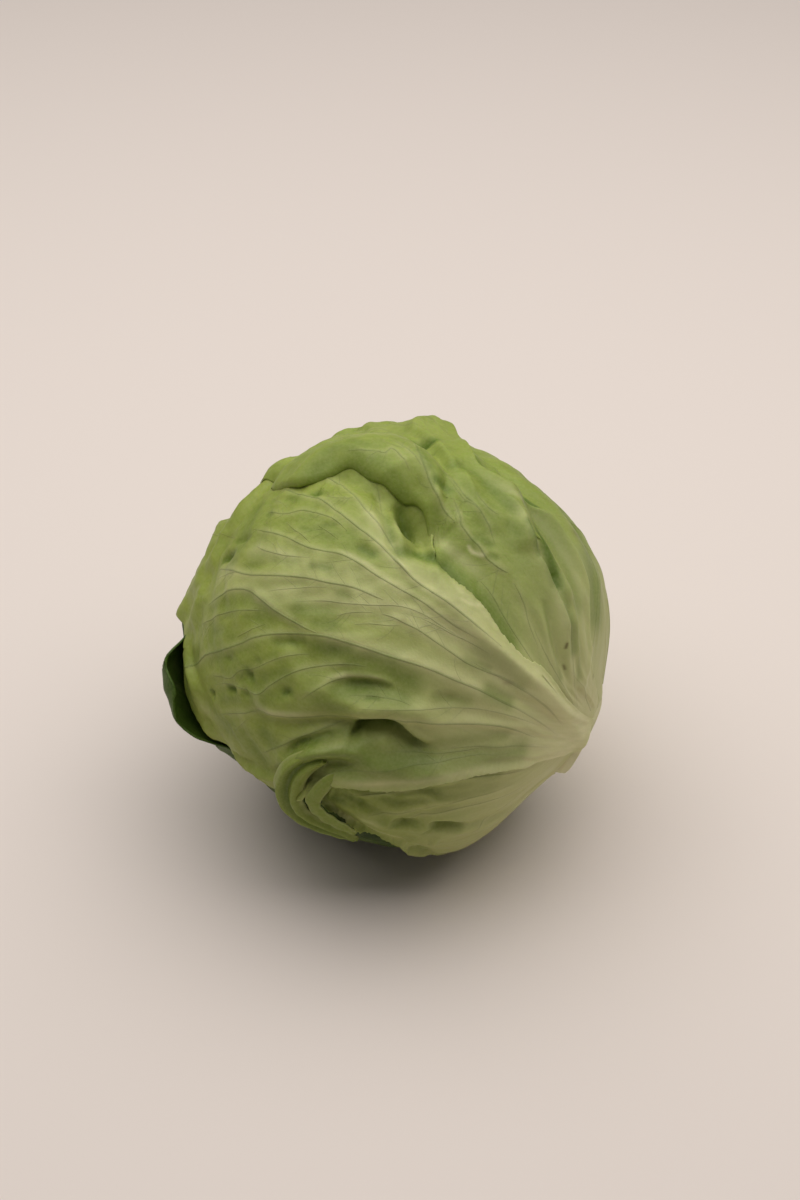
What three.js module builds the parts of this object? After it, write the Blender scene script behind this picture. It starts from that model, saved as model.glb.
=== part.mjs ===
// A head of crisp lettuce lying on its side, stem end to the right and a little down.
// Six outer leaves wrap a dense heart, each lapping over its neighbours, and a short
// cut stem closes the end where all the leaf bases meet.
// Millimetres, +Z up, the surface it lies on is z = 0.

import * as THREE from 'three';

// Driving dimensions.
const HEAD_RADIUS = 72.4;        // round body of the head under the outer leaves
const HEAD_CENTRE = [-1.5, 1.7, 70.5];
const STEM_TILT = 22.7;          // degrees that the stem end points below level
const REST_HEIGHT = 69.7;        // centre of the head to the flat it rests on
const LEAF_THICKNESS = 0.9;
const LEAF_PITCH = 2.3;          // from one leaf's inner face to the next leaf's
const LAP_RAMP = [7.5, 9.0];     // run a leaf takes to climb an edge, at stem and beyond
const STEM_RADIUS = 15.8;
const STEM_FACE = 74.8;          // centre of the head to the cut face of the stem
const LEAF_BASE_ANGLE = 14.2;    // leaves start this many degrees off the stem axis

const DEG = Math.PI / 180;

// The stem axis and the two directions square to it.  Places on the head are given as
// [theta, phi]: theta is the angle from the stem (180 is the crown), phi goes round the
// axis from the top (0) by the front (90) and the underside (180) to the back (270).
const tiltCos = Math.cos(STEM_TILT * DEG);
const tiltSin = Math.sin(STEM_TILT * DEG);
const stemAxis = new THREE.Vector3(tiltCos, 0, -tiltSin);
const topAxis = new THREE.Vector3(tiltSin, 0, tiltCos);
const frontAxis = new THREE.Vector3(0, -1, 0);

function direction(theta, phi) {
  const ring = Math.sin(theta * DEG);
  return new THREE.Vector3()
    .addScaledVector(stemAxis, Math.cos(theta * DEG))
    .addScaledVector(topAxis, ring * Math.cos(phi * DEG))
    .addScaledVector(frontAxis, ring * Math.sin(phi * DEG));
}

function thetaOf(n) {
  return Math.acos(THREE.MathUtils.clamp(n.dot(stemAxis), -1, 1)) / DEG;
}

// Broad swells and hollows of the whole head: theta, phi, spread and height in mm.
const SWELLS = [
  [14, -10, 24, -3.0],
  [22, 112, 16, -2.0],
  [52, -34, 28, 3.4],
  [152, -10, 34, -3.0],
  [164, 100, 24, -3.4],
  [105, 134, 20, -13.0],
  [72, 134, 22, -2.4],
  [50, 132, 18, 2.4],
];

// Folds of the outer leaves.  Each row is a width in mm, then the points that the crest
// or the valley runs through, as theta, phi and height (below zero for a valley).
const FOLDS = [
  // front leaf: midrib, two strong side veins, and the soft waves between them
  [5.0, [14, 50, 1.4], [38, 44, 1.8], [60, 40, 1.5], [85, 36, 1.2], [127, 34, 0]],
  [5.0, [14, 58, 0.8], [51, 54, 1.2], [73, 51, 1.1], [94, 54, 0.8], [136, 55, 0]],
  [5.0, [20, 64, 0.4], [55, 58, 0.9], [83, 66, 0.8], [115, 85, 0.5], [130, 92, 0]],
  [5.8, [130, 61, 0], [118, 62, -1.6], [108, 64, -2.0], [98, 64, -1.8], [78, 62, 0]],
  [5.2, [114, 74, 0], [104, 71, 1.5], [96, 69, 1.8], [86, 66, 1.4], [72, 61, 0]],
  [5.0, [126, 50, 0], [116, 50, -1.3], [108, 49, -1.1], [96, 47, 0]],
  // front leaf: the arched fold low on the front, its hollow and its standing crest
  [5.0, [100, 76, 0], [92, 70, 2.0], [86, 65, 2.6], [78, 63, 2.0], [64, 66, 0]],
  [6.0, [118, 93, 0], [106, 85, -2.6], [98, 78, -4.0], [90, 74, -5.0], [84, 71, -4.6],
    [77, 73, -2.0], [66, 74, 0]],
  [5.0, [108, 102, 0], [102, 95, 3.2], [97, 86, 3.6], [91, 82, 3.6], [82, 81, 2.6],
    [70, 78, 1.4], [52, 72, 0]],
  // front leaf: the ruffled lower end below that crest
  [5.0, [96, 92, 0], [99, 100, -2.6], [97, 107, -2.6], [93, 115, -1.6], [88, 120, 0]],
  [5.0, [93, 95, 0], [94, 102, 2.2], [91, 109, 2.6], [86, 114, 2.2], [78, 115, 1.6],
    [68, 121, 0]],
  [5.0, [93, 95, 0], [85, 103, -2.6], [79, 107, -3.0], [72, 110, -2.6], [64, 112, 0]],
  // the pocket at the top and the groove that runs on from it to the stem
  [8.0, [112, 4, 0], [107, 9, -8.0], [102, 14, -10.5], [97, 18, -7.5], [92, 20, 0]],
  [9.2, [102, 12, 0], [95, 19, -4.6], [86, 21, -5.2], [78, 23, -4.6], [70, 26, -3.8],
    [56, 31, -2.4], [41, 36, -1.0], [26, 40, 0]],
  // top leaf: the rolled edge over the front leaf and the hollow under it
  [9.2, [152, -6, 0], [138, -10, 2.6], [126, -10, 3.8], [116, -7, 4.4], [108, -3, 4.0],
    [99, 2, 2.6], [90, 6, 0]],
  [6.3, [150, 8, 0], [138, 7, -1.8], [126, 5, -2.6], [117, 8, -3.4], [110, 13, -2.0],
    [104, 18, 0]],
  // top leaf: the pleats that run from the stem up over the shoulder
  [5.5, [90, -12, 0], [80, -5, 2.4], [72, 2, 2.8], [62, 8, 2.8], [52, 14, 2.2],
    [41, 23, 1.2], [26, 34, 0]],
  [5.8, [92, -20, 0], [82, -13, -2.6], [72, -5, -3.0], [62, -1, -2.6], [52, 4, -1.6],
    [38, 14, 0]],
  [5.1, [100, -30, 0], [92, -14, 1.8], [82, -9, 2.4], [70, -11, 2.4], [60, -9, 1.8],
    [48, -4, 1.0], [32, 8, 0]],
  [5.3, [114, -26, 0], [107, -15, -2.4], [102, -7, -2.4], [96, 0, 0]],
  [8.0, [118, -40, 0], [110, -37, 3.0], [103, -36, 3.8], [94, -34, 0]],
  // right leaf: the dark valleys beyond the last pleat
  [5.8, [100, -40, 0], [88, -25, -3.0], [79, -21, -4.2], [70, -19, -3.0], [56, -14, 0]],
  [5.8, [88, -48, 0], [74, -38, -2.0], [60, -30, -1.8], [44, -22, 0]],
  // back and underside: long soft pleats from the stem to the crown
  [8.0, [24, -62, 0], [50, -64, 2.0], [85, -68, 2.2], [120, -72, 1.4], [150, -80, 0]],
  [7.5, [28, -84, 0], [56, -86, -2.2], [92, -88, -2.6], [128, -90, 0]],
  [8.0, [24, -110, 0], [54, -108, 2.0], [90, -106, 2.4], [130, -108, 1.2], [158, -116, 0]],
  [7.5, [30, -132, 0], [60, -132, -2.0], [96, -134, -2.4], [132, -134, 0]],
  [8.0, [24, -152, 0], [50, -154, 1.6], [100, -158, 2.0], [140, -156, 0]],
  [7.5, [96, 172, 0], [112, 170, -2.2], [132, 168, -2.0], [154, 160, 0]],
  [7.5, [100, 148, 0], [116, 146, 1.8], [136, 146, 1.6], [156, 140, 0]],
  [6.9, [24, 150, 0], [36, 152, -1.4], [46, 154, 0]],
];

// Height of the folds at a place on the head.
const foldPaths = FOLDS.map(([width, ...stops]) => ({
  width,
  points: stops.map(([theta, phi]) => direction(theta, phi).multiplyScalar(HEAD_RADIUS)),
  heights: stops.map((stop) => stop[2]),
}));

function foldHeight(n) {
  const place = n.clone().multiplyScalar(HEAD_RADIUS);
  const step = new THREE.Vector3();
  const gap = new THREE.Vector3();
  let total = 0;
  for (const path of foldPaths) {
    let nearest = Infinity;
    let height = 0;
    for (let i = 0; i + 1 < path.points.length; i += 1) {
      step.subVectors(path.points[i + 1], path.points[i]);
      gap.subVectors(place, path.points[i]);
      const along = THREE.MathUtils.clamp(gap.dot(step) / step.lengthSq(), 0, 1);
      const distance = gap.addScaledVector(step, -along).length();
      if (distance < nearest) {
        nearest = distance;
        height = THREE.MathUtils.lerp(path.heights[i], path.heights[i + 1], along);
      }
    }
    total += height * Math.exp(-((nearest / path.width) ** 2));
  }
  return total;
}

// Distance from the centre of the head to the surface that the leaves are laid on.
function bodyRadius(n) {
  let radius = HEAD_RADIUS;
  for (const [theta, phi, spread, height] of SWELLS) {
    const away = direction(theta, phi).distanceTo(n) * HEAD_RADIUS;
    radius += height * Math.exp(-((away / spread) ** 2));
  }
  radius += foldHeight(n);
  const floor = n.z < -0.2 ? REST_HEIGHT / -n.z : 400;
  const blend = Math.max(0, 1 - Math.abs(radius - floor) / 3);
  return Math.min(radius, floor) - 0.5 * blend * blend;
}

// How much farther out than across itself a layer lies, where the surface is steep.
function steepness(n) {
  const side = new THREE.Vector3(0, 0, 1).cross(n);
  if (side.lengthSq() < 1e-4) side.set(1, 0, 0).cross(n);
  side.normalize();
  const other = new THREE.Vector3().crossVectors(n, side);
  const reach = 0.012;
  const slope = (axis) => {
    const ahead = n.clone().addScaledVector(axis, reach).normalize();
    const behind = n.clone().addScaledVector(axis, -reach).normalize();
    return (bodyRadius(ahead) - bodyRadius(behind)) / (2 * reach * HEAD_RADIUS);
  };
  return Math.min(1.6, Math.hypot(1, slope(side), slope(other)));
}

// A smooth curve through a list of [x, y] points.
function curveThrough(points, x) {
  const last = points.length - 1;
  if (x <= points[0][0]) return points[0][1];
  if (x >= points[last][0]) return points[last][1];
  let i = 0;
  while (x > points[i + 1][0]) i += 1;
  const slopeAt = (k) => {
    const before = points[Math.max(0, k - 1)];
    const after = points[Math.min(last, k + 1)];
    return (after[1] - before[1]) / (after[0] - before[0]);
  };
  const span = points[i + 1][0] - points[i][0];
  const t = (x - points[i][0]) / span;
  const rise = points[i + 1][1] - points[i][1];
  const bendStart = slopeAt(i) * span - rise;
  const bendEnd = rise - slopeAt(i + 1) * span;
  return points[i][1] + t * rise + t * (1 - t) * ((1 - t) * bendStart + t * bendEnd);
}

// The outer leaves, from the lowest layer to the top one.  middle is the phi that the
// leaf is laid out about.  The two sides are lists of [theta, phi] from the stem to the
// tip, near the side of lower phi and far the side of higher phi; tip is how far the
// leaf reaches, in degrees along its middle line, at its near and far corners.
// wave is the height of the waves along the free edge in mm.
const LEAVES = [
  {
    name: 'back_leaf',
    middle: -110,
    near: [[14, -160], [30, -152], [60, -148], [90, -148], [120, -152], [150, -158]],
    far: [[14, -50], [30, -50], [60, -52], [90, -54], [120, -50], [150, -26]],
    tip: [192, 188],
    wave: 1.2,
    rows: 24,
    columns: 18,
    colour: 0x76903f,
  },
  {
    name: 'under_leaf',
    middle: 172,
    near: [[14, 116], [30, 112], [60, 112], [84, 106], [104, 104], [129, 106], [150, 92]],
    far: [[14, 232], [30, 226], [60, 226], [90, 224], [120, 226], [150, 236]],
    tip: [186, 180],
    wave: 1.2,
    rows: 24,
    columns: 18,
    colour: 0x5f7a2c,
  },
  {
    name: 'lower_leaf',
    middle: 105,
    near: [[14, 66], [30, 65], [50, 68], [66, 78], [80, 85], [90, 90], [97, 99]],
    far: [[14, 136], [30, 142], [46, 148], [60, 148], [72, 138], [84, 126], [96, 121]],
    tip: [96, 101],
    wave: 1.2,
    rows: 22,
    columns: 18,
    colour: 0x9aa35c,
  },
  {
    name: 'right_leaf',
    middle: -34,
    near: [[14, -66], [30, -76], [50, -82], [70, -84], [90, -84], [110, -78], [128, -62]],
    far: [[14, 4], [30, 9], [46, 1], [60, -6], [70, -8], [80, -7], [90, -8], [98, -20], [108, -34],
      [124, -48]],
    tip: [132, 128],
    wave: 1.0,
    rows: 22,
    columns: 16,
    colour: 0x93a052,
  },
  {
    name: 'top_leaf',
    middle: -12,
    near: [[14, -8], [30, 4], [41, 1], [50, -6], [60, -9], [70, -11], [82, -9], [89, -12],
      [94, -20], [98, -32], [108, -46], [122, -54], [142, -56], [160, -50]],
    far: [[14, 31], [28, 41], [41, 43], [56, 41], [70, 38], [80, 33], [88, 29], [91, 25],
      [95, 18], [99, 11], [103, 8], [110, 7], [120, 1], [130, -2], [142, 2], [158, 14]],
    tip: [172, 174],
    wave: 1.2,
    rows: 36,
    columns: 20,
    colour: 0xa3a862,
  },
  {
    name: 'front_leaf',
    middle: 62,
    near: [[14, 28], [28, 38], [40, 38], [51, 35], [61, 35], [68, 33], [75, 29], [82, 26],
      [88, 23], [94, 21], [99, 20], [103, 14], [107, 3], [112, -8], [122, -18], [150, -24]],
    far: [[14, 72], [25, 69], [39, 70], [52, 73], [63, 78], [70, 83], [76, 87], [82, 89],
      [87, 91], [91, 94], [95, 104], [100, 114], [106, 116], [114, 117], [126, 120],
      [138, 122], [148, 118]],
    tip: [174, 160],
    wave: 1.4,
    rows: 42,
    columns: 26,
    colour: 0x929a50,
  },
];

// Where the top leaf passes from under the front leaf to over it, in degrees from the
// stem; the two part there and leave the open pocket.
const CROSSING = [95.5, 106];

// Each leaf has a grid of its own: along runs from the stem over the head and across
// runs square to it, both in degrees.
for (const [order, leaf] of LEAVES.entries()) {
  const spread = Math.cos(leaf.middle * DEG);
  const turn = Math.sin(leaf.middle * DEG);
  leaf.order = order;
  leaf.along = topAxis.clone().multiplyScalar(spread).addScaledVector(frontAxis, turn);
  leaf.across = frontAxis.clone().multiplyScalar(spread).addScaledVector(topAxis, -turn);
  const onLeaf = ([theta, phi]) => leafPlace(leaf, direction(theta, phi));
  leaf.nearSide = leaf.near.map(onLeaf);
  leaf.farSide = leaf.far.map(onLeaf);
}

function leafPlace(leaf, n) {
  const across = Math.asin(THREE.MathUtils.clamp(n.dot(leaf.across), -1, 1)) / DEG;
  let along = Math.atan2(n.dot(leaf.along), n.dot(stemAxis)) / DEG;
  if (along < -70) along += 360;
  return [along, across];
}

function leafDirection(leaf, along, across) {
  return new THREE.Vector3()
    .addScaledVector(stemAxis, Math.cos(along * DEG) * Math.cos(across * DEG))
    .addScaledVector(leaf.along, Math.sin(along * DEG) * Math.cos(across * DEG))
    .addScaledVector(leaf.across, Math.sin(across * DEG));
}

function edgeWave(leaf, along) {
  const seed = leaf.order * 2.1;
  return 0.7 * Math.sin(along * 0.36 + seed) + 0.5 * Math.sin(along * 0.61 + 2.7 * seed);
}

function sidesAt(leaf, along) {
  const near = curveThrough(leaf.nearSide, along) - edgeWave(leaf, along);
  const far = curveThrough(leaf.farSide, along) + edgeWave(leaf, along + 40);
  return [near, far];
}

function tipAt(leaf, share) {
  const corner = 9 * Math.abs(2 * share - 1) ** 3;
  const wave = 0.9 * Math.sin(share * 17 + leaf.order) + 0.6 * Math.sin(share * 29);
  return THREE.MathUtils.lerp(leaf.tip[0], leaf.tip[1], share) - corner + wave;
}

// Distance in mm from a place to the nearest edge of a leaf, below zero off the leaf.
function insideEdge(leaf, n) {
  const [along, across] = leafPlace(leaf, n);
  const [near, far] = sidesAt(leaf, along);
  const share = THREE.MathUtils.clamp((across - near) / (far - near), 0, 1);
  const scale = HEAD_RADIUS * DEG;
  return Math.min(across - near, far - across, tipAt(leaf, share) - along) * scale;
}

// The under leaf flares off the head at the crown end, out beyond the front leaf.
function crownFlare(leaf, n) {
  if (leaf.name !== 'under_leaf') return 0;
  const away = direction(142, 134).distanceTo(n) * HEAD_RADIUS;
  return 9.0 * Math.exp(-((away / 15) ** 2));
}

// Room that a leaf takes up for the leaves laid over it: its own layer, the waves of
// its free edge, and the flare of the under leaf at the crown end.
function roomTaken(leaf, n) {
  const inside = insideEdge(leaf, n);
  const away = THREE.MathUtils.smoothstep(thetaOf(n), LEAF_BASE_ANGLE, 55);
  const ramp = THREE.MathUtils.lerp(LAP_RAMP[0], LAP_RAMP[1], away);
  if (inside < -ramp) return 0;
  const cover = THREE.MathUtils.smoothstep(inside, -ramp, -0.8);
  const nearEdge = THREE.MathUtils.clamp(1 - inside / 14, 0, 1) ** 2;
  const [along, across] = leafPlace(leaf, n);
  const ripple = 0.5 + 0.5 * Math.sin(along * 0.23 + across * 0.17 + leaf.order * 1.7);
  let room = LEAF_PITCH + leaf.wave * nearEdge * ripple;
  room += crownFlare(leaf, n);
  return room * cover;
}

// How high a leaf lies over the body of the head.
function layerHeight(leaf, n) {
  let height = 0;
  const over = THREE.MathUtils.smoothstep(thetaOf(n), CROSSING[0], CROSSING[1]);
  for (const lower of LEAVES) {
    let share = lower.order < leaf.order ? 1 : 0;
    if (leaf.name === 'front_leaf' && lower.name === 'top_leaf') share = 1 - over;
    if (leaf.name === 'top_leaf' && lower.name === 'front_leaf') share = over;
    if (share > 0) height += share * roomTaken(lower, n);
  }
  const inside = insideEdge(leaf, n);
  const nearEdge = THREE.MathUtils.clamp(1 - inside / 14, 0, 1) ** 2;
  const [along, across] = leafPlace(leaf, n);
  const ripple = 0.5 + 0.5 * Math.sin(along * 0.23 + across * 0.17 + leaf.order * 1.7);
  height += leaf.wave * nearEdge * ripple;
  return height + crownFlare(leaf, n);
}

// Where a leaf starts on the ring round the stem.
function startAt(leaf, share) {
  let low = -20;
  let high = 40;
  for (let pass = 0; pass < 24; pass += 1) {
    const along = (low + high) / 2;
    const [near, far] = sidesAt(leaf, along);
    const across = THREE.MathUtils.lerp(near, far, share);
    if (thetaOf(leafDirection(leaf, Math.max(0, along), across)) < LEAF_BASE_ANGLE) low = along;
    else high = along;
  }
  return Math.max(0, high);
}

// One leaf as a closed thin body: an outer and an inner face on the same grid, split
// into triangles alike, and a narrow wall round the edge.
function leafGeometry(leaf) {
  const { rows, columns } = leaf;
  const outer = [];
  const inner = [];
  const starts = [];
  for (let column = 0; column <= columns; column += 1) {
    starts.push(startAt(leaf, column / columns));
  }
  for (let row = 0; row <= rows; row += 1) {
    const run = (row / rows) ** 1.3;
    for (let column = 0; column <= columns; column += 1) {
      const share = column / columns;
      const along = THREE.MathUtils.lerp(starts[column], tipAt(leaf, share), run);
      const [near, far] = sidesAt(leaf, along);
      const across = THREE.MathUtils.lerp(near, far, share);
      const n = leafDirection(leaf, along, across);
      const stretch = steepness(n);
      const low = bodyRadius(n) + layerHeight(leaf, n) * stretch;
      inner.push(n.clone().multiplyScalar(low));
      outer.push(n.clone().multiplyScalar(low + LEAF_THICKNESS * stretch));
    }
  }
  const rest = REST_HEIGHT + LEAF_THICKNESS - 0.1;
  for (const point of outer) point.z = Math.max(point.z, -rest);
  for (const point of inner) point.z = Math.max(point.z, -rest + LEAF_THICKNESS);

  const count = outer.length;
  const stride = columns + 1;
  const faces = [];
  for (let row = 0; row < rows; row += 1) {
    for (let column = 0; column < columns; column += 1) {
      const a = row * stride + column;
      const b = a + 1;
      const c = a + stride;
      const d = c + 1;
      faces.push(a, b, d, a, d, c);
      faces.push(a + count, d + count, b + count, a + count, c + count, d + count);
    }
  }
  const rim = [];
  for (let column = 0; column < columns; column += 1) rim.push(column);
  for (let row = 0; row < rows; row += 1) rim.push(row * stride + columns);
  for (let column = columns; column > 0; column -= 1) rim.push(rows * stride + column);
  for (let row = rows; row > 0; row -= 1) rim.push(row * stride);
  rim.forEach((a, i) => {
    const b = rim[(i + 1) % rim.length];
    faces.push(b, a, a + count, b, a + count, b + count);
  });
  return closedGeometry(outer.concat(inner), faces);
}

// A closed geometry with its faces turned outwards, moved to stand on the surface.
function closedGeometry(points, faces) {
  const centre = new THREE.Vector3(...HEAD_CENTRE);
  let volume = 0;
  for (let i = 0; i < faces.length; i += 3) {
    const [a, b, c] = [points[faces[i]], points[faces[i + 1]], points[faces[i + 2]]];
    volume += a.dot(new THREE.Vector3().crossVectors(b, c));
  }
  const order = volume > 0 ? faces : faces.slice().reverse();
  const positions = points.flatMap((point) => point.clone().add(centre).toArray());
  const geometry = new THREE.BufferGeometry();
  geometry.setAttribute('position', new THREE.Float32BufferAttribute(positions, 3));
  geometry.setIndex(order);
  geometry.computeVertexNormals();
  return geometry;
}

// The dense heart: the inner leaves pressed together, seen only down in the pocket.
// A round socket at its stem end takes the stem.
function heartGeometry() {
  const rings = 26;
  const sectors = 36;
  const socketDepth = 56;
  const points = [direction(0, 0).multiplyScalar(socketDepth)];
  const angles = [9, 14.4];
  for (let ring = 0; ring < rings; ring += 1) angles.push(16.6 + ring * (159 / rings));
  angles.forEach((theta, ring) => {
    for (let sector = 0; sector < sectors; sector += 1) {
      const n = direction(theta, sector * (360 / sectors));
      const hollow = Math.min(0, foldHeight(n));
      const surface = bodyRadius(n) - 4.6 + 2.0 * hollow;
      const radius = ring < 2 ? socketDepth / Math.cos(theta * DEG) : surface;
      points.push(n.multiplyScalar(radius));
    }
  });
  points.push(direction(180, 0).multiplyScalar(bodyRadius(direction(180, 0)) - 4.6));
  const faces = [];
  const last = points.length - 1;
  for (let sector = 0; sector < sectors; sector += 1) {
    const next = (sector + 1) % sectors;
    faces.push(0, 1 + sector, 1 + next);
    for (let ring = 0; ring + 1 < angles.length; ring += 1) {
      const a = 1 + ring * sectors + sector;
      const b = 1 + ring * sectors + next;
      faces.push(a, a + sectors, b + sectors, a, b + sectors, b);
    }
    const base = 1 + (angles.length - 1) * sectors;
    faces.push(last, base + next, base + sector);
  }
  return closedGeometry(points, faces);
}

// The cut stem: a stout stub in the heart's socket, with the stumps of the trimmed
// leaf bases as a low ring round its cut face.
function stemGeometry() {
  const profile = [
    [0, 56.4],
    [10.5, 56.4],
    [12.6, 64],
    [14.0, 70.5],
    [STEM_RADIUS, 72.8],
    [STEM_RADIUS, STEM_FACE],
    [STEM_RADIUS - 2.4, STEM_FACE + 0.5],
    [STEM_RADIUS - 4.6, STEM_FACE - 0.7],
    [0, STEM_FACE - 0.2],
  ];
  const sectors = 28;
  const points = [];
  for (const [radius, height] of profile) {
    const copies = radius === 0 ? 1 : sectors;
    for (let sector = 0; sector < copies; sector += 1) {
      const turn = (sector * 2 * Math.PI) / sectors;
      const lobed = radius * (1 + 0.018 * Math.sin(5 * turn) - 0.018);
      points.push(new THREE.Vector3()
        .addScaledVector(stemAxis, height)
        .addScaledVector(topAxis, lobed * Math.cos(turn))
        .addScaledVector(frontAxis, lobed * Math.sin(turn)));
    }
  }
  const faces = [];
  const last = points.length - 1;
  const rings = profile.length - 2;
  for (let sector = 0; sector < sectors; sector += 1) {
    const next = (sector + 1) % sectors;
    faces.push(0, 1 + sector, 1 + next);
    for (let ring = 0; ring + 1 < rings; ring += 1) {
      const a = 1 + ring * sectors + sector;
      const b = 1 + ring * sectors + next;
      faces.push(a, a + sectors, b + sectors, a, b + sectors, b);
    }
    const base = 1 + (rings - 1) * sectors;
    faces.push(last, base + next, base + sector);
  }
  return closedGeometry(points, faces);
}

function piece(name, geometry, colour, roughness) {
  const material = new THREE.MeshStandardMaterial({ color: colour, roughness, metalness: 0 });
  const mesh = new THREE.Mesh(geometry, material);
  mesh.name = name;
  return mesh;
}

const lettuce = new THREE.Group();
lettuce.add(piece('heart', heartGeometry(), 0x9dab55, 0.6));
lettuce.add(piece('stem', stemGeometry(), 0xcfc9a2, 0.7));
for (const leaf of LEAVES) {
  lettuce.add(piece(leaf.name, leafGeometry(leaf), leaf.colour, 0.5));
}

export default lettuce;
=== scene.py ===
import bpy
import numpy as np
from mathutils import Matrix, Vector


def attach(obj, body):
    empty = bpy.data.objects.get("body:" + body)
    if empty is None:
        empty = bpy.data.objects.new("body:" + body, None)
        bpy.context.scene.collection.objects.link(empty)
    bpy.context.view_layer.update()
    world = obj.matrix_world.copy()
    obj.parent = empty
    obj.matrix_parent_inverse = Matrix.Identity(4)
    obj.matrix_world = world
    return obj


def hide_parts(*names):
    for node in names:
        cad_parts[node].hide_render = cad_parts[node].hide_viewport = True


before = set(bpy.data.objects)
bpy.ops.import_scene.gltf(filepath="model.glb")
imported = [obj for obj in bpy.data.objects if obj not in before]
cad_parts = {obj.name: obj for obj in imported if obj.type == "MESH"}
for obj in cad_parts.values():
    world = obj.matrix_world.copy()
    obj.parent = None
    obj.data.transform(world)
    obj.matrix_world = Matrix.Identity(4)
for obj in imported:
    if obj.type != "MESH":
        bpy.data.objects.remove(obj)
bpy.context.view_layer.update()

# Camera: an eye above the front of the head and a little to the stem side, with a long
# lens, as close as a person leans over a table. The picture is 800 by 1200 pixels, and
# places on the head are given below by their pixel, where the photo shows them.
HEAD_CENTRE = np.array([-1.5, 1.7, 70.5])
PICTURE_MIDDLE = (400.0, 600.0)
PICTURE_FOCAL = 2675.0
SIGHT_RADIUS = 75.6
view_turn, view_rise = np.radians(15.0), np.radians(38.0)
view_back = np.array([np.sin(view_turn) * np.cos(view_rise),
                      -np.cos(view_turn) * np.cos(view_rise), np.sin(view_rise)])
view_right = np.array([np.cos(view_turn), np.sin(view_turn), 0.0])
view_up = np.cross(view_back, view_right)
eye = HEAD_CENTRE + 950.0 * view_back
aim = HEAD_CENTRE + 2.84 * view_right + 14.2 * view_up
camera_data = bpy.data.cameras.new("camera")
camera_data.lens = 53.5
camera_data.sensor_width = 24.0
camera_data.sensor_fit = "AUTO"
camera_data.clip_start, camera_data.clip_end = 0.01, 20.0
camera = bpy.data.objects.new("camera", camera_data)
camera.location = eye / 1000.0
camera.rotation_mode = "QUATERNION"
camera.rotation_quaternion = Vector(aim - eye).to_track_quat("-Z", "Y")
bpy.context.scene.collection.objects.link(camera)
bpy.context.scene.camera = camera
sight = (aim - eye) / np.linalg.norm(aim - eye)
sight_right = np.cross(sight, (0.0, 0.0, 1.0))
sight_right /= np.linalg.norm(sight_right)
sight_up = np.cross(sight_right, sight)


def seen(pixels, radius=SIGHT_RADIUS):
    """Unit vectors from the centre of the head to what the pixels show on a ball."""
    pixels = np.array(pixels, dtype=float)
    ray = (sight + (pixels[:, :1] - PICTURE_MIDDLE[0]) / PICTURE_FOCAL * sight_right
           - (pixels[:, 1:2] - PICTURE_MIDDLE[1]) / PICTURE_FOCAL * sight_up)
    ray /= np.linalg.norm(ray, axis=1)[:, None]
    start = eye - HEAD_CENTRE
    middle = ray @ start
    depth = np.sqrt(np.maximum(0.0, middle ** 2 - start @ start + radius ** 2))
    point = start + (-middle - depth)[:, None] * ray
    return point / np.linalg.norm(point, axis=1)[:, None]


# The heart: the many inner leaves, packed into one dense ball. It is seen only down in
# the gaps between the outer leaves. All of those are laid on it, so its form comes first.
HEAD_RADIUS = 72.4
REST_HEIGHT = 69.7
STEM_TILT = np.radians(22.7)
stem_axis = np.array([np.cos(STEM_TILT), 0.0, -np.sin(STEM_TILT)])
top_axis = np.array([np.sin(STEM_TILT), 0.0, np.cos(STEM_TILT)])
front_axis = np.array([0.0, -1.0, 0.0])


def direction(theta, phi):
    """Unit vectors at theta degrees from the stem and phi degrees round it from the top."""
    theta, phi = np.radians(theta)[..., None], np.radians(phi)[..., None]
    ring = np.cos(phi) * top_axis + np.sin(phi) * front_axis
    return np.cos(theta) * stem_axis + np.sin(theta) * ring


def theta_of(n):
    return np.degrees(np.arccos(np.clip(n @ stem_axis, -1.0, 1.0)))


def smooth(x, low, high):
    t = np.clip((x - low) / (high - low), 0.0, 1.0)
    return t * t * (3.0 - 2.0 * t)


# Broad swells and hollows: theta, phi, spread and height in mm.
SWELLS = [
    (14, -10, 24, -1.2), (22, 112, 16, -2.0), (52, -34, 28, 3.4), (152, -10, 34, -3.0),
    (30, -36, 20, 2.0), (172, -120, 22, -3.2), (150, -40, 13, -2.0), (4, 0, 19, 3.8),
    (164, 100, 24, -3.4), (105, 134, 20, -13.0), (72, 134, 22, -2.4), (50, 132, 18, 2.4),
]

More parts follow.
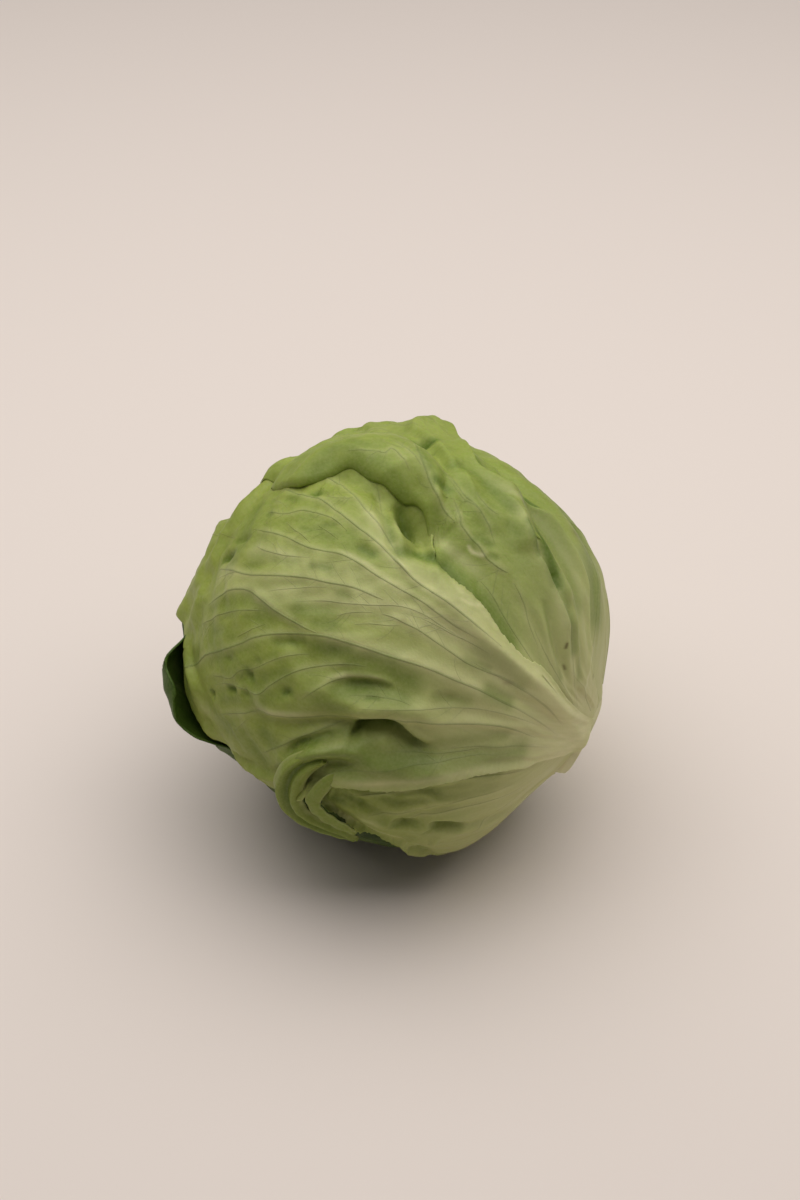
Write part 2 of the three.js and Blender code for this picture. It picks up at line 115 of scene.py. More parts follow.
# Folds that all the layers follow: a width in mm, then theta, phi and height.
FOLDS = [
    # front leaf: midrib, two strong side veins, and the soft waves between them
    (4.0, (14, 50, 1.4), (38, 44, 1.8), (60, 40, 1.5), (85, 36, 1.2), (127, 34, 0)),
    (3.6, (14, 58, 0.8), (51, 54, 1.2), (73, 51, 1.1), (94, 54, 0.8), (136, 55, 0)),
    (3.6, (20, 64, 0.4), (55, 58, 0.9), (83, 66, 0.8), (115, 85, 0.5), (130, 92, 0)),
    (5.2, (130, 61, 0), (118, 62, -1.6), (108, 64, -2.0), (98, 64, -1.8), (78, 62, 0)),
    (4.6, (114, 74, 0), (104, 71, 1.5), (96, 69, 1.8), (86, 66, 1.4), (72, 61, 0)),
    (4.2, (126, 50, 0), (116, 50, -1.3), (108, 49, -1.1), (96, 47, 0)),
    # front leaf: the arched fold low on the front, its hollow and its standing crest
    (3.8, (100, 76, 0), (92, 70, 2.0), (86, 65, 2.8), (78, 63, 2.2), (64, 66, 0)),
    (3.8, (118, 93, 0), (106, 85, -2.6), (98, 78, -4.2), (90, 74, -5.6), (84, 71, -5.2),
     (77, 73, -2.4), (66, 74, 0)),
    (4.0, (108, 102, 0), (102, 95, 3.2), (97, 86, 3.8), (91, 82, 3.8), (82, 81, 2.8),
     (70, 78, 1.4), (52, 72, 0)),
    # front leaf: the ruffled lower end below that crest
    (2.6, (96, 92, 0), (99, 100, -3.0), (97, 107, -3.0), (93, 115, -2.0), (88, 120, 0)),
    (3.0, (93, 95, 0), (94, 102, 2.6), (91, 109, 3.0), (86, 114, 2.6), (78, 115, 1.8),
     (68, 121, 0)),
    (3.0, (93, 95, 0), (85, 103, -2.8), (79, 107, -3.4), (72, 110, -3.0), (64, 112, 0)),
    # the pocket at the top and the groove that runs on from it to the stem
    (7.0, (112, 4, 0), (107, 9, -8.0), (102, 14, -10.5), (97, 18, -7.5), (92, 20, 0)),
    (8.4, (102, 12, 0), (95, 19, -4.6), (86, 21, -5.2), (78, 23, -4.6), (70, 26, -3.8),
     (56, 31, -2.4), (41, 36, -1.0), (26, 40, 0)),
    # top leaf: the rolled edge over the front leaf and the hollow under it
    (8.2, (152, -6, 0), (138, -10, 2.6), (126, -10, 3.8), (116, -7, 4.4), (108, -3, 4.0),
     (99, 2, 2.6), (90, 6, 0)),
    (5.2, (150, 8, 0), (138, 7, -1.8), (126, 5, -2.6), (117, 8, -3.4), (110, 13, -2.0),
     (104, 18, 0)),
    # top leaf: the pleats that run from the stem up over the shoulder
    (4.6, (90, -12, 0), (80, -5, 2.4), (72, 2, 2.8), (62, 8, 2.8), (52, 14, 2.2),
     (41, 23, 1.2), (26, 34, 0)),
    (4.8, (92, -20, 0), (82, -13, -2.6), (72, -5, -3.0), (62, -1, -2.6), (52, 4, -1.6),
     (38, 14, 0)),
    (4.4, (100, -30, 0), (92, -14, 1.8), (82, -9, 2.4), (70, -11, 2.4), (60, -9, 1.8),
     (48, -4, 1.0), (32, 8, 0)),
    (4.2, (114, -26, 0), (107, -15, -2.4), (102, -7, -2.4), (96, 0, 0)),
    (7.0, (118, -40, 0), (110, -37, 3.0), (103, -36, 3.8), (94, -34, 0)),
    # right leaf: the dark valleys beyond the last pleat
    (4.8, (100, -40, 0), (88, -25, -3.0), (79, -21, -4.2), (70, -19, -3.0), (56, -14, 0)),
    (5.0, (88, -48, 0), (74, -38, -2.0), (60, -30, -1.8), (44, -22, 0)),
    # back and underside: long soft pleats from the stem to the crown
    (7.0, (24, -62, 0), (50, -64, 2.0), (85, -68, 2.2), (120, -72, 1.4), (150, -80, 0)),
    (6.5, (28, -84, 0), (56, -86, -2.2), (92, -88, -2.6), (128, -90, 0)),
    (7.0, (24, -110, 0), (54, -108, 2.0), (90, -106, 2.4), (130, -108, 1.2),
     (158, -116, 0)),
    (6.5, (30, -132, 0), (60, -132, -2.0), (96, -134, -2.4), (132, -134, 0)),
    (7.0, (24, -152, 0), (50, -154, 1.6), (100, -158, 2.0), (140, -156, 0)),
    (6.5, (96, 172, 0), (112, 170, -2.2), (132, 168, -2.0), (154, 160, 0)),
    (6.5, (100, 148, 0), (116, 146, 1.8), (136, 146, 1.6), (156, 140, 0)),
    (6.0, (24, 150, 0), (36, 152, -1.4), (46, 154, 0)),
]


def bands(n, marks, strongest=False):
    """Height or strength at each place of soft bands drawn along paths on the head.

    A mark is its width to the left and to the right of its path, the points of the path
    and a value at each. Bands add up, or the strongest one counts."""
    place = n * HEAD_RADIUS
    total = np.zeros(len(n))
    for left, right, points, values in marks:
        middle = points.mean(axis=0)
        reach = np.linalg.norm(points - middle, axis=1).max() + 3.0 * max(left, right)
        close = np.flatnonzero(np.linalg.norm(place - middle, axis=1) < reach)
        nearest = np.full(len(close), 1e9)
        value, side = np.zeros(len(close)), np.zeros(len(close))
        for start, end, low, high in zip(points, points[1:], values, values[1:]):
            step = end - start
            gap = place[close] - start
            t = np.clip((gap @ step) / (step @ step), 0.0, 1.0)
            distance = np.linalg.norm(gap - t[:, None] * step, axis=1)
            closer = distance < nearest
            nearest = np.where(closer, distance, nearest)
            value = np.where(closer, low + t * (high - low), value)
            side = np.where(closer, gap @ np.cross(step, start + end), side)
        band = value * np.exp(-(nearest / np.where(side > 0, right, left)) ** 2)
        total[close] = np.maximum(total[close], band) if strongest else total[close] + band
    return total


def folds_of_all():
    marks = []
    for width, *stops in FOLDS:
        stops = np.array(stops, dtype=float)
        points = direction(stops[:, 0], stops[:, 1]) * HEAD_RADIUS
        marks.append((width, width, points, stops[:, 2]))
    return marks


fold_marks = folds_of_all()


def body_radius(n):
    """Distance from the centre of the head to the surface that the leaves are laid on."""
    radius = HEAD_RADIUS + bands(n, fold_marks)
    for theta, phi, spread, height in SWELLS:
        centre = direction(np.array(float(theta)), np.array(float(phi)))
        away = np.linalg.norm(n - centre, axis=-1) * HEAD_RADIUS
        radius += height * np.exp(-(away / spread) ** 2)
    return radius


def above_table(n, radius):
    """Flattens a surface softly where it would reach below its place on the table."""
    floor = np.where(n[:, 2] < -0.2, REST_HEIGHT / np.maximum(-n[:, 2], 0.2), 400.0)
    blend = np.maximum(0.0, 1.0 - np.abs(radius - floor) / 3.0)
    return np.minimum(radius, floor) - 0.5 * blend ** 2


def read_points(piece):
    places = np.empty(len(piece.data.vertices) * 3, dtype=np.float32)
    piece.data.vertices.foreach_get("co", places)
    return places.reshape(-1, 3).astype(float)


def set_points(piece, points):
    """Puts the vertices of a piece at places given in mm from the centre of the head."""
    metres = (points.reshape(-1, 3) + HEAD_CENTRE) / 1000.0
    piece.data.vertices.foreach_set("co", metres.astype(np.float32).ravel())
    piece.data.update()


def add_value(piece, name, values):
    layer = piece.data.attributes.new(name, "FLOAT", "POINT")
    layer.data.foreach_set("value", values.astype(np.float32).ravel())


def node(tree, kind, **values):
    made = tree.nodes.new(kind)
    for key, value in values.items():
        setattr(made, key, value)
    return made


def leaf_material(name, deep, fresh, pale, roughness=0.5):
    """Leaf flesh: fresh green on the blade and pale by the stem, with painted shade towards deep
    green in hollows and gaps, over the leaf's own deeper green there, and painted highlight towards
    pale on crests and rims.
    """
    material = bpy.data.materials.new(name)
    material.use_nodes = True
    tree = material.node_tree
    links = tree.links
    shader = tree.nodes["Principled BSDF"]

    def value_of(attribute):
        return node(tree, "ShaderNodeAttribute", attribute_name=attribute).outputs["Fac"]

    def blend(share, first, second):
        mix = node(tree, "ShaderNodeMix", data_type="RGBA")
        for socket, entry in ((mix.inputs[0], share), (mix.inputs[6], first),
                              (mix.inputs[7], second)):
            if isinstance(entry, bpy.types.NodeSocket):
                links.new(entry, socket)
            else:
                socket.default_value = entry
        return mix.outputs[2]

    def scaled(entry, low, high, new_low, new_high):
        ranged = node(tree, "ShaderNodeMapRange")
        links.new(entry, ranged.inputs[0])
        for k, number in enumerate((low, high, new_low, new_high)):
            ranged.inputs[k + 1].default_value = number
        return ranged.outputs[0]

    def product(first, second):
        made = node(tree, "ShaderNodeMath", operation="MULTIPLY")
        links.new(first, made.inputs[0])
        links.new(second, made.inputs[1])
        return made.outputs[0]

    place = node(tree, "ShaderNodeTexCoord").outputs["Object"]
    flat = node(tree, "ShaderNodeTexCoord").outputs["UV"]

    def noise(where, scale, detail):
        made = node(tree, "ShaderNodeTexNoise")
        links.new(where, made.inputs["Vector"])
        made.inputs["Scale"].default_value = scale
        made.inputs["Detail"].default_value = detail
        return made

    broad = scaled(noise(place, 42.0, 3.0).outputs["Fac"], 0.35, 0.65, 0.0, 1.0)
    streak = node(tree, "ShaderNodeMapping")
    streak.inputs["Scale"].default_value = (3.0, 22.0, 1.0)
    links.new(flat, streak.inputs["Vector"])
    grain = scaled(noise(streak.outputs["Vector"], 3.0, 3.0).outputs["Fac"],
                   0.35, 0.7, 0.0, 1.0)
    colour = blend(scaled(broad, 0.0, 1.0, 0.0, 0.22), fresh, deep)
    colour = blend(scaled(grain, 0.0, 1.0, 0.0, 0.16), colour, deep)
    colour = blend(value_of("pale"), colour, pale)
    colour = blend(product(scaled(grain, 0.0, 1.0, 0.0, 0.22), value_of("pale")),
                   colour, fresh)
    # Painted highlight: crests, rims and vein shoulders are lightened towards pale, partly the
    # leaf's own pale tissue.
    colour = blend(value_of("pale_and_highlight"), colour, pale)
    # Painted shade: hollows, creases and gaps are darkened towards deep green, partly the leaf's
    # own deeper green there.
    colour = blend(scaled(value_of("dark"), 0.0, 1.0, 0.0, 0.92), colour, deep)
    line = blend(0.42, colour, (0.12, 0.19, 0.035, 1))
    colour = blend(value_of("vein"), colour, line)
    speckle = scaled(noise(place, 900.0, 2.0).outputs["Fac"], 0.3, 0.7, 0.0, 0.08)
    colour = blend(speckle, colour, pale)
    colour = blend(value_of("brown"), colour, (0.10, 0.055, 0.015, 1))
    links.new(colour, shader.inputs["Base Color"])
    links.new(scaled(broad, 0.0, 1.0, roughness - 0.05, roughness + 0.08),
              shader.inputs["Roughness"])
    shader.inputs["Subsurface Weight"].default_value = 0.12
    shader.inputs["Subsurface Radius"].default_value = (0.5, 1.0, 0.18)
    shader.inputs["Subsurface Scale"].default_value = 0.002
    shader.inputs["IOR"].default_value = 1.40
    shader.inputs["Specular IOR Level"].default_value = 0.4
    fine = node(tree, "ShaderNodeBump")
    fine.inputs["Strength"].default_value = 0.3
    fine.inputs["Distance"].default_value = 0.0003
    links.new(noise(place, 1100.0, 3.0).outputs["Fac"], fine.inputs["Height"])
    links.new(fine.outputs["Normal"], shader.inputs["Normal"])
    return material


HEART_DEPTH = 4.2  # the heart lies this far under the leaves, in mm
SOCKET_LEVEL = 56.0  # floor of the stem's socket, from the centre of the head
SOCKET_ANGLE = 15.2  # rim of the socket, in degrees off the stem axis
bpy.ops.mesh.primitive_uv_sphere_add(segments=160, ring_count=112, radius=1.0)
heart = bpy.context.object
heart.name = "heart_leaves"
n = read_points(heart) @ np.stack([top_axis, front_axis, stem_axis])
n /= np.linalg.norm(n, axis=1)[:, None]
hollow = np.minimum(0.0, bands(n, fold_marks))
surface = above_table(n, body_radius(n)) - HEART_DEPTH + 0.8 * hollow
socket = SOCKET_LEVEL / np.maximum(0.2, n @ stem_axis)
surface = np.where(theta_of(n) < SOCKET_ANGLE, np.minimum(surface, socket), surface)
set_points(heart, n * surface[:, None])
# Painted shade: the heart is darkened all over, deeper than its own green, as it is seen only in
# shadowed gaps.
add_value(heart, "dark", np.full(len(n), 0.7))
bpy.ops.object.shade_smooth()
heart.data.materials.append(leaf_material(
    "heart_flesh", (0.05, 0.09, 0.008, 1), (0.16, 0.22, 0.03, 1), (0.5, 0.5, 0.26, 1)))
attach(heart, "root")
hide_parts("heart")

# The stem: the short stub left where the head was cut from its root, cream flesh with
# a dry tan skin on the cut, and the stumps of trimmed leaf bases as a low ring.
STEM_FACE = 76.2
STEM_RADIUS = 16.5
STEM_FOOT = SOCKET_LEVEL + 0.4
bpy.ops.object.select_all(action="DESELECT")
bpy.ops.mesh.primitive_cylinder_add(vertices=96, radius=1.0, depth=2.0, end_fill_type="TRIFAN")
stem = bpy.context.object
stem.name = "cut_stem"
bpy.ops.object.mode_set(mode="EDIT")
bpy.ops.mesh.select_all(action="SELECT")
bpy.ops.mesh.subdivide(number_cuts=4)
bpy.ops.object.mode_set(mode="OBJECT")
stem_points = read_points(stem)
reach = np.hypot(stem_points[:, 0], stem_points[:, 1])
turn = np.arctan2(stem_points[:, 1], stem_points[:, 0])
height = stem_points[:, 2]
side_radius = np.interp(height, [-1.0, -0.4, 0.1, 0.6, 0.9, 1.0],
                        [10.5, 12.8, 15.0, STEM_RADIUS + 0.2, STEM_RADIUS - 0.2,
                         STEM_RADIUS - 1.2])
side_radius *= 1.0 - 0.02 + 0.02 * np.sin(5.0 * turn)
face_rise = 0.5 * np.exp(-((reach - 0.86) / 0.07) ** 2) - 0.7 * smooth(1.0 - reach, 0.2, 0.5)
face_rise += 0.25 * np.sin(23.0 * reach) * np.cos(3.0 * turn) * (reach < 0.7)
level = np.interp(height, [-1.0, 1.0], [STEM_FOOT, STEM_FACE])
level = np.where(height > 0.999, level + face_rise, level)
out = np.minimum(reach, 1.0) * side_radius
stem_shape = (level[:, None] * stem_axis
              + (out * np.cos(turn))[:, None] * top_axis
              + (out * np.sin(turn))[:, None] * front_axis)
set_points(stem, stem_shape)
bpy.ops.object.mode_set(mode="EDIT")
bpy.ops.mesh.select_all(action="SELECT")
bpy.ops.mesh.normals_make_consistent(inside=False)
bpy.ops.object.mode_set(mode="OBJECT")
on_face = (height > 0.999) * (1 - smooth(reach, 0.80, 0.97))
ring = smooth(reach, 0.5, 0.62) * (1 - smooth(reach, 0.7, 0.8)) * 0.5
add_value(stem, "pale", 1.0 - 0.8 * on_face)
add_value(stem, "vein", ring * on_face)
add_value(stem, "brown", 0.14 * on_face)
bpy.ops.object.shade_smooth()
stem.data.materials.append(leaf_material(
    "stem_flesh", (0.38, 0.24, 0.09, 1), (0.58, 0.47, 0.25, 1), (0.70, 0.68, 0.40, 1), 0.6))
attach(stem, "root")
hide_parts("stem")

# The back leaf: the outer leaf on the far side, the lowest of the six layers. A thin
# crisp blade that grows from the stem and wraps up over the crown, held by its base.
# Every leaf is made the same way, and lies over the leaves that were made before it.
LEAF_THICKNESS = 0.75
LEAF_PITCH = 2.1  # room that a layer takes far from the stem, with the air under it
BASE_PITCH = 0.6  # room that it takes at the stem, where the leaves press together
LEAF_BASE_ANGLE = 12.6  # the leaves start this many degrees off the stem axis
CROSSING = (94.0, 98.5)  # where the front leaf passes from over to under the top leaf
HEAD_SCALE = HEAD_RADIUS * np.pi / 180.0
ROLL_ANGLE = 2.2  # how far a rolled edge turns, in radians
ROW_CROWDING = 1.15  # above 1, the rows of a blade's grid lie closer near the stem
all_leaves = []


def curve_through(points, x):
    """A smooth curve through [x, y] points, level beyond both ends."""
    xs, ys = points[:, 0], points[:, 1]
    last = len(xs) - 1
    i = np.clip(np.searchsorted(xs, x, side="right") - 1, 0, last - 1)
    slope = np.empty(len(xs))
    slope[0] = (ys[1] - ys[0]) / (xs[1] - xs[0])
    slope[last] = (ys[last] - ys[last - 1]) / (xs[last] - xs[last - 1])
    slope[1:last] = (ys[2:] - ys[:-2]) / (xs[2:] - xs[:-2])
    span = xs[i + 1] - xs[i]
    t = np.clip((x - xs[i]) / span, 0.0, 1.0)
    rise = ys[i + 1] - ys[i]
    bend_start = slope[i] * span - rise
    bend_end = rise - slope[i + 1] * span
    return ys[i] + t * rise + t * (1 - t) * ((1 - t) * bend_start + t * bend_end)


def leaf_place(leaf, n):
    across = np.degrees(np.arcsin(np.clip(n @ leaf["across"], -1.0, 1.0)))
    along = np.degrees(np.arctan2(n @ leaf["along"], n @ stem_axis))
    return np.where(along < -70.0, along + 360.0, along), across


def leaf_direction(leaf, along, across):
    along, across = np.radians(along)[..., None], np.radians(across)[..., None]
    return (np.cos(along) * np.cos(across) * stem_axis
            + np.sin(along) * np.cos(across) * leaf["along"]
            + np.sin(across) * leaf["across"])


def edge_wave(leaf, along):
    seed = leaf["order"] * 2.1
    wave = 0.7 * np.sin(along * 0.36 + seed) + 0.5 * np.sin(along * 0.61 + 2.7 * seed)
    return leaf["stray"] * wave * smooth(along, 20.0, 60.0)


def teeth(leaf, along, side):
    """The fine ragged cut of a free edge, in degrees."""
    k = leaf["order"] * 3.0 + side
    cut = (0.34 * np.sin(along * 1.9 + k) + 0.28 * np.sin(along * 4.3 + 2 * k)
           + 0.22 * np.sin(along * 7.1 + 3 * k))
    return leaf["teeth"] * cut * smooth(along, 30.0, 60.0)


def roll_share(leaf, side, along):
    """How far an edge is rolled under, from 0 to 1."""
    stops = np.array(leaf["roll"].get(side, [(0, 0), (180, 0)]), dtype=float)
    return np.interp(along, stops[:, 0], stops[:, 1])


def sides_at(leaf, along, fine=False):
    near = curve_through(leaf["near"], along) - edge_wave(leaf, along)
    far = curve_through(leaf["far"], along) + edge_wave(leaf, along + 40)
    if fine:
        near = near + teeth(leaf, along, 0.0) * (1 - roll_share(leaf, "near", along))
        far = far + teeth(leaf, along, 1.3) * (1 - roll_share(leaf, "far", along))
    return near, far


def tip_at(leaf, share):
    wave = 0.9 * np.sin(share * 17 + leaf["order"]) + 0.6 * np.sin(share * 29)
    return curve_through(leaf["tip"], share) + wave


def inside_edge(leaf, n):
    along, across = leaf_place(leaf, n)
    near, far = sides_at(leaf, along)
    share = np.clip((across - near) / (far - near), 0.0, 1.0)
    edge = np.minimum(np.minimum(across - near, far - across), tip_at(leaf, share) - along)
    edge = np.minimum(edge, 1.5 * (along + 4.0))
    return edge * HEAD_SCALE


def ripple(leaf, n):
    """Height of the waves near the free edge of a leaf."""
    along, across = leaf_place(leaf, n)
    near_edge = np.clip(1.0 - inside_edge(leaf, n) / 14.0, 0.0, 1.0) ** 2
    wave = 0.5 + 0.5 * np.sin(along * 0.23 + across * 0.17 + leaf["order"] * 1.7)
    return leaf["wave"] * near_edge * wave * smooth(along, 25.0, 60.0)


def room_taken(leaf, n):
    inside = inside_edge(leaf, n)
    away = smooth(theta_of(n), LEAF_BASE_ANGLE, 55.0)
    ramp = 5.0 + 4.0 * away
    cover = smooth(inside, -ramp, -0.8)
    pitch = BASE_PITCH + (LEAF_PITCH - BASE_PITCH) * away
    return (pitch + ripple(leaf, n)) * cover


def layer_height(leaf, n):
    height = ripple(leaf, n)
    over = smooth(theta_of(n), *CROSSING)
    for lower in all_leaves:
        share = 1.0 if lower["order"] < leaf["order"] else 0.0
        if leaf["name"] == "front_leaf" and lower["name"] == "top_leaf":
            share = 1.0 - over
        if leaf["name"] == "top_leaf" and lower["name"] == "front_leaf":
            share = over
        if np.any(share > 0):
            height = height + share * room_taken(lower, n)
    return height


def plan_leaf(name, middle, near, far, tip, wave, teeth, pale, fade, roll=None, lift=(),
              stray=1.0):
    """Notes where a leaf lies; its grid runs along from the stem and across, in degrees."""
    turn = np.radians(middle)
    leaf = {
        "name": name, "order": len(all_leaves), "wave": wave, "teeth": teeth,
        "tip": np.array(tip, dtype=float),
        "pale": pale, "fade": fade, "roll": roll or {}, "lift": lift, "stray": stray,
        "along": np.cos(turn) * top_axis + np.sin(turn) * front_axis,
        "across": np.cos(turn) * front_axis - np.sin(turn) * top_axis,
    }
    for side, stops in (("near", near), ("far", far)):
        stops = np.array(stops, dtype=float)
        leaf[side] = np.stack(leaf_place(leaf, direction(stops[:, 0], stops[:, 1])), axis=1)
    all_leaves.append(leaf)
    return leaf


def smooth_path(points, values):
    """Rounds a chain of points by adding two more in each gap."""
    ends = np.vstack([2 * points[0] - points[1], points, 2 * points[-1] - points[-2]])
    round_points, round_values = [], []
    for k in range(len(points) - 1):
        a, b, c, d = ends[k:k + 4]
        for t in (0.0, 1 / 3, 2 / 3):
            round_points.append(b + 0.5 * t * (c - a) + t * t * (a - 2.5 * b + 2 * c - 0.5 * d)
                                + t ** 3 * (1.5 * (b - c) + 0.5 * (d - a)))
            round_values.append(values[k] + t * (values[k + 1] - values[k]))
    round_points.append(points[-1])
    round_values.append(values[-1])
    return np.array(round_points), np.array(round_values)


def even(*row):
    """A mark that keeps its value up to both ends."""
    return ("even", *row)


def marks(rows, radius=SIGHT_RADIUS):
    """Bands through places given by their pixel, each fading out at its ends.

    A row holds the value, the width and then x and y of every place. A pair of widths is
    to the left and to the right of the path."""
    made = []
    for row in rows:
        keeps_value = row[0] == "even"
        value, width, *places = row[1:] if keeps_value else row
        left, right = width if isinstance(width, tuple) else (width, width)
        points = seen(np.reshape(places, (-1, 2)), radius) * HEAD_RADIUS
        values = np.full(len(points), float(value))
        if len(points) > 2:
            if not keeps_value:
                values[[0, -1]] = 0.0
            points, values = smooth_path(points, values)
        made.append((left, right, points, values))
    return made


def grown_veins(leaf, where):
    """A midrib and the side veins that leave it on both sides, out towards the edges."""
    lines = []
    steps = np.linspace(0.0, 1.0, 7)
    top = tip_at(leaf, np.array(0.5))

    def line_at(start, end, to_share, bend, width, strength):
        along = start + (end - start) * steps
        share = 0.5 + (to_share - 0.5) * steps ** bend
        share = share + 0.012 * np.sin(along * 0.17 + 9 * to_share)
        near, far = sides_at(leaf, along)
        points = leaf_direction(leaf, along, near + share * (far - near)) * HEAD_RADIUS
        seen_share = where(points / HEAD_RADIUS)
        values = strength * (1.0 - 0.6 * steps) * seen_share
        lines.append((width, width, points, values))

    line_at(12.0, top - 8.0, 0.5, 1.0, 0.8, 1.0)
    for k in range(9):
        start = 14.0 + 11.0 * k
        for side in (-1, 1):
            reach_out = 0.46 - 0.012 * k
            offset = 3.0 if side > 0 else 0.0
            line_at(start + offset, start + offset + 62.0, 0.5 + side * reach_out,
                    0.85, 0.5, 0.75)
    return lines


def fluting(share, theta):
    """Broad smooth ribs that spread from the stem."""
    wave = np.cos(2 * np.pi * (7.0 * share + 0.10 * np.sin(share * 21.0)))
    return 0.20 * wave * smooth(theta, 20.0, 45.0) * (1 - smooth(theta, 55.0, 105.0))


def blade_at(leaf, n, drop=0.0):
    """Radius of the outer face of a leaf and the shares of its colours, at unit vectors."""
    along, across = leaf_place(leaf, n)
    near, far = sides_at(leaf, along)
    share = (across - near) / (far - near)
    theta = theta_of(n)
    x, y = along * HEAD_SCALE, across * HEAD_SCALE
    crisp = smooth(theta, 50.0, 110.0)
    wave = (0.34 * np.sin(x * 0.31 + 1.3 * np.sin(y * 0.17 + leaf["order"]))
            * np.sin(y * 0.36 + 1.1 * np.sin(x * 0.13))
            + 0.15 * np.sin(x * 0.83 + 2.0 * np.sin(y * 0.29)) * np.sin(y * 0.71 + 1.0))
    shoulder = bands(n, leaf["shoulders"], strongest=True)
    # Bands of painted shade over a deeper green; they also sink the blade a little.
    shade_bands = bands(n, leaf["dark"], strongest=True)
    own = bands(n, leaf["relief"])
    ribs = fluting(share, theta)
    radius = (body_radius(n) + layer_height(leaf, n) + 2.0 * LEAF_THICKNESS - drop
              + wave * crisp + 0.40 * shoulder - 0.45 * shade_bands + own + ribs)
    radius = above_table(n, radius - 0.8) + 0.8
    pale = leaf["pale"] * (1 - smooth(theta, 18.0, leaf["fade"]))
    # Marked painted highlights, with pale vein tissue.
    spread_pale_and_highlight = bands(n, leaf["pale_and_highlight"], strongest=True)
    shares = {
        "pale": np.clip(pale * (1 - 0.5 * shade_bands), 0, 1),
        # Painted shade: the marked bands, the valleys of the leaf's own relief and the troughs of
        # its small waves, less on their crests.
        "dark": np.clip(shade_bands + 0.14 * smooth(-own, 0.3, 3.0) - 0.3 * wave * crisp, 0, 1),
        # Painted highlight on the raised vein shoulders, less where shade is painted, plus the
        # marked highlights and pale tissue.
        "pale_and_highlight": np.clip(0.26 * shoulder * (1 - 0.7 * shade_bands) + spread_pale_and_highlight, 0, 1),
        "brown": bands(n, leaf["brown"], strongest=True),
    }
    return radius, shares


TWIG_WIDTH = 0.27
TWIGS_START = 66.0  # no twigs nearer to the stem than this, in degrees


def side_twigs(leaf, lines, count, seed):
    """Short finer veins that leave the others at a slant, towards the free edge."""
    chance = np.random.default_rng(seed)
    twigs = []
    for _ in range(count):
        points, values = lines[chance.integers(len(lines))][2:]
        k = chance.integers(0, len(points) - 1)
        step = points[k + 1] - points[k]
        step *= (1.0 if step @ stem_axis < 0 else -1.0) / np.linalg.norm(step)
        out = np.cross(step, points[k]) * chance.choice([-1.0, 1.0])
        out /= np.linalg.norm(out)
        turn, bend = chance.uniform(0.5, 0.9), chance.uniform(-0.16, 0.16)
        length, strength = chance.uniform(1.0, 1.9), chance.uniform(0.35, 0.6)
        path = [points[k]]
        for _ in range(6):
            path.append(path[-1] + length * (np.cos(turn) * step + np.sin(turn) * out))
            turn += bend
        path = np.array(path)
        path *= HEAD_RADIUS / np.linalg.norm(path, axis=1)[:, None]
        if values[k] > 0.25 and theta_of(path / HEAD_RADIUS).min() > TWIGS_START:
            twigs.append((TWIG_WIDTH, TWIG_WIDTH, path, strength * np.linspace(1.0, 0.35, 7)))
    return twigs


def new_grid(name, columns, rows):
    """A flat grid, and how far its points are across and along it, from 0 to 1."""
    bpy.ops.object.select_all(action="DESELECT")
    bpy.ops.mesh.primitive_grid_add(x_subdivisions=columns, y_subdivisions=rows, size=1.0)
    grid = bpy.context.object
    grid.name = name
    flat = read_points(grid) + 0.5
    return grid, flat[:, 0], flat[:, 1]


def lay_flat(piece, sheet):
    """Gives a grid its UV map from one place on the flat leaf for each point."""
    corner = np.empty(len(piece.data.loops), dtype=np.int32)
    piece.data.loops.foreach_get("vertex_index", corner)
    piece.data.uv_layers[0].data.foreach_set("uv", sheet[corner].astype(np.float32).ravel())


def give_thickness(piece, offset):
    piece.modifiers.new("blade", "SOLIDIFY")
    piece.modifiers["blade"].thickness = LEAF_THICKNESS / 1000.0
    piece.modifiers["blade"].offset = offset
    bpy.ops.object.modifier_apply(modifier="blade")
    bpy.ops.object.shade_smooth()


def join_to(piece, parts):
    for part in parts + [piece]:
        part.select_set(True)
    bpy.context.view_layer.objects.active = piece
    bpy.ops.object.join()


def add_threads(leaf, piece, lines):
    """Lays each vein on the blade as a fine raised thread that tapers to its end."""
    runs = []
    for width, _, points, values in lines:
        steps = np.linalg.norm(np.diff(points, axis=0), axis=1)
        length = np.concatenate([[0.0], np.cumsum(steps)])
        spots = np.linspace(0.0, length[-1], max(5, int(length[-1] / 1.1)))
        middle = np.stack([np.interp(spots, length, points[:, k]) for k in range(3)], axis=1)
        unit = middle / np.linalg.norm(middle, axis=1)[:, None]
        value = np.interp(spots, length, values)
        kept = (inside_edge(leaf, unit) > 2.8) & (value > 0.03) & (
            theta_of(unit) > LEAF_BASE_ANGLE + 3.0)
        cuts = np.flatnonzero(np.diff(kept.astype(int))) + 1
        for part in np.split(np.arange(len(spots)), cuts):
            if kept[part[0]] and len(part) > 4 and value[part].max() > 0.15:
                runs.append((width, middle[part], value[part]))
    threads, places, heights, strengths = [], [], [], []
    for width, middle, value in runs:
        thread, across, run = new_grid("thread", 4, len(middle) - 1)
        side = 2.0 * across - 1.0
        row = np.rint(run * (len(middle) - 1)).astype(int)
        ahead = np.gradient(middle, axis=0)
        sideways = np.cross(ahead, middle)
        sideways /= np.linalg.norm(sideways, axis=1)[:, None]
        half = width * (0.3 + 0.7 * np.minimum(1.0, value / 0.8))
        places.append(middle[row] + sideways[row] * (side * half[row])[:, None])
        crown = np.interp(np.abs(side), [0.0, 0.5, 1.0], [1.0, 0.65, -0.8])
        heights.append(0.30 * half[row] * crown)
        strengths.append(value[row] * (np.abs(side) < 0.8))
        threads.append(thread)
    n = np.concatenate(places)
    n /= np.linalg.norm(n, axis=1)[:, None]
    radius, shares = blade_at(leaf, n)
    shape = n * (radius + np.concatenate(heights))[:, None]
    shares["vein"] = np.clip(np.concatenate(strengths), 0.0, 1.0)
    first = 0
    for thread in threads:
        last = first + len(thread.data.vertices)
        set_points(thread, shape[first:last])
        for name, values in shares.items():
            add_value(thread, name, values[first:last])
        first = last
        for face in thread.data.polygons:
            face.use_smooth = True
        thread.data.materials.append(piece.data.materials[0])
    join_to(piece, threads)


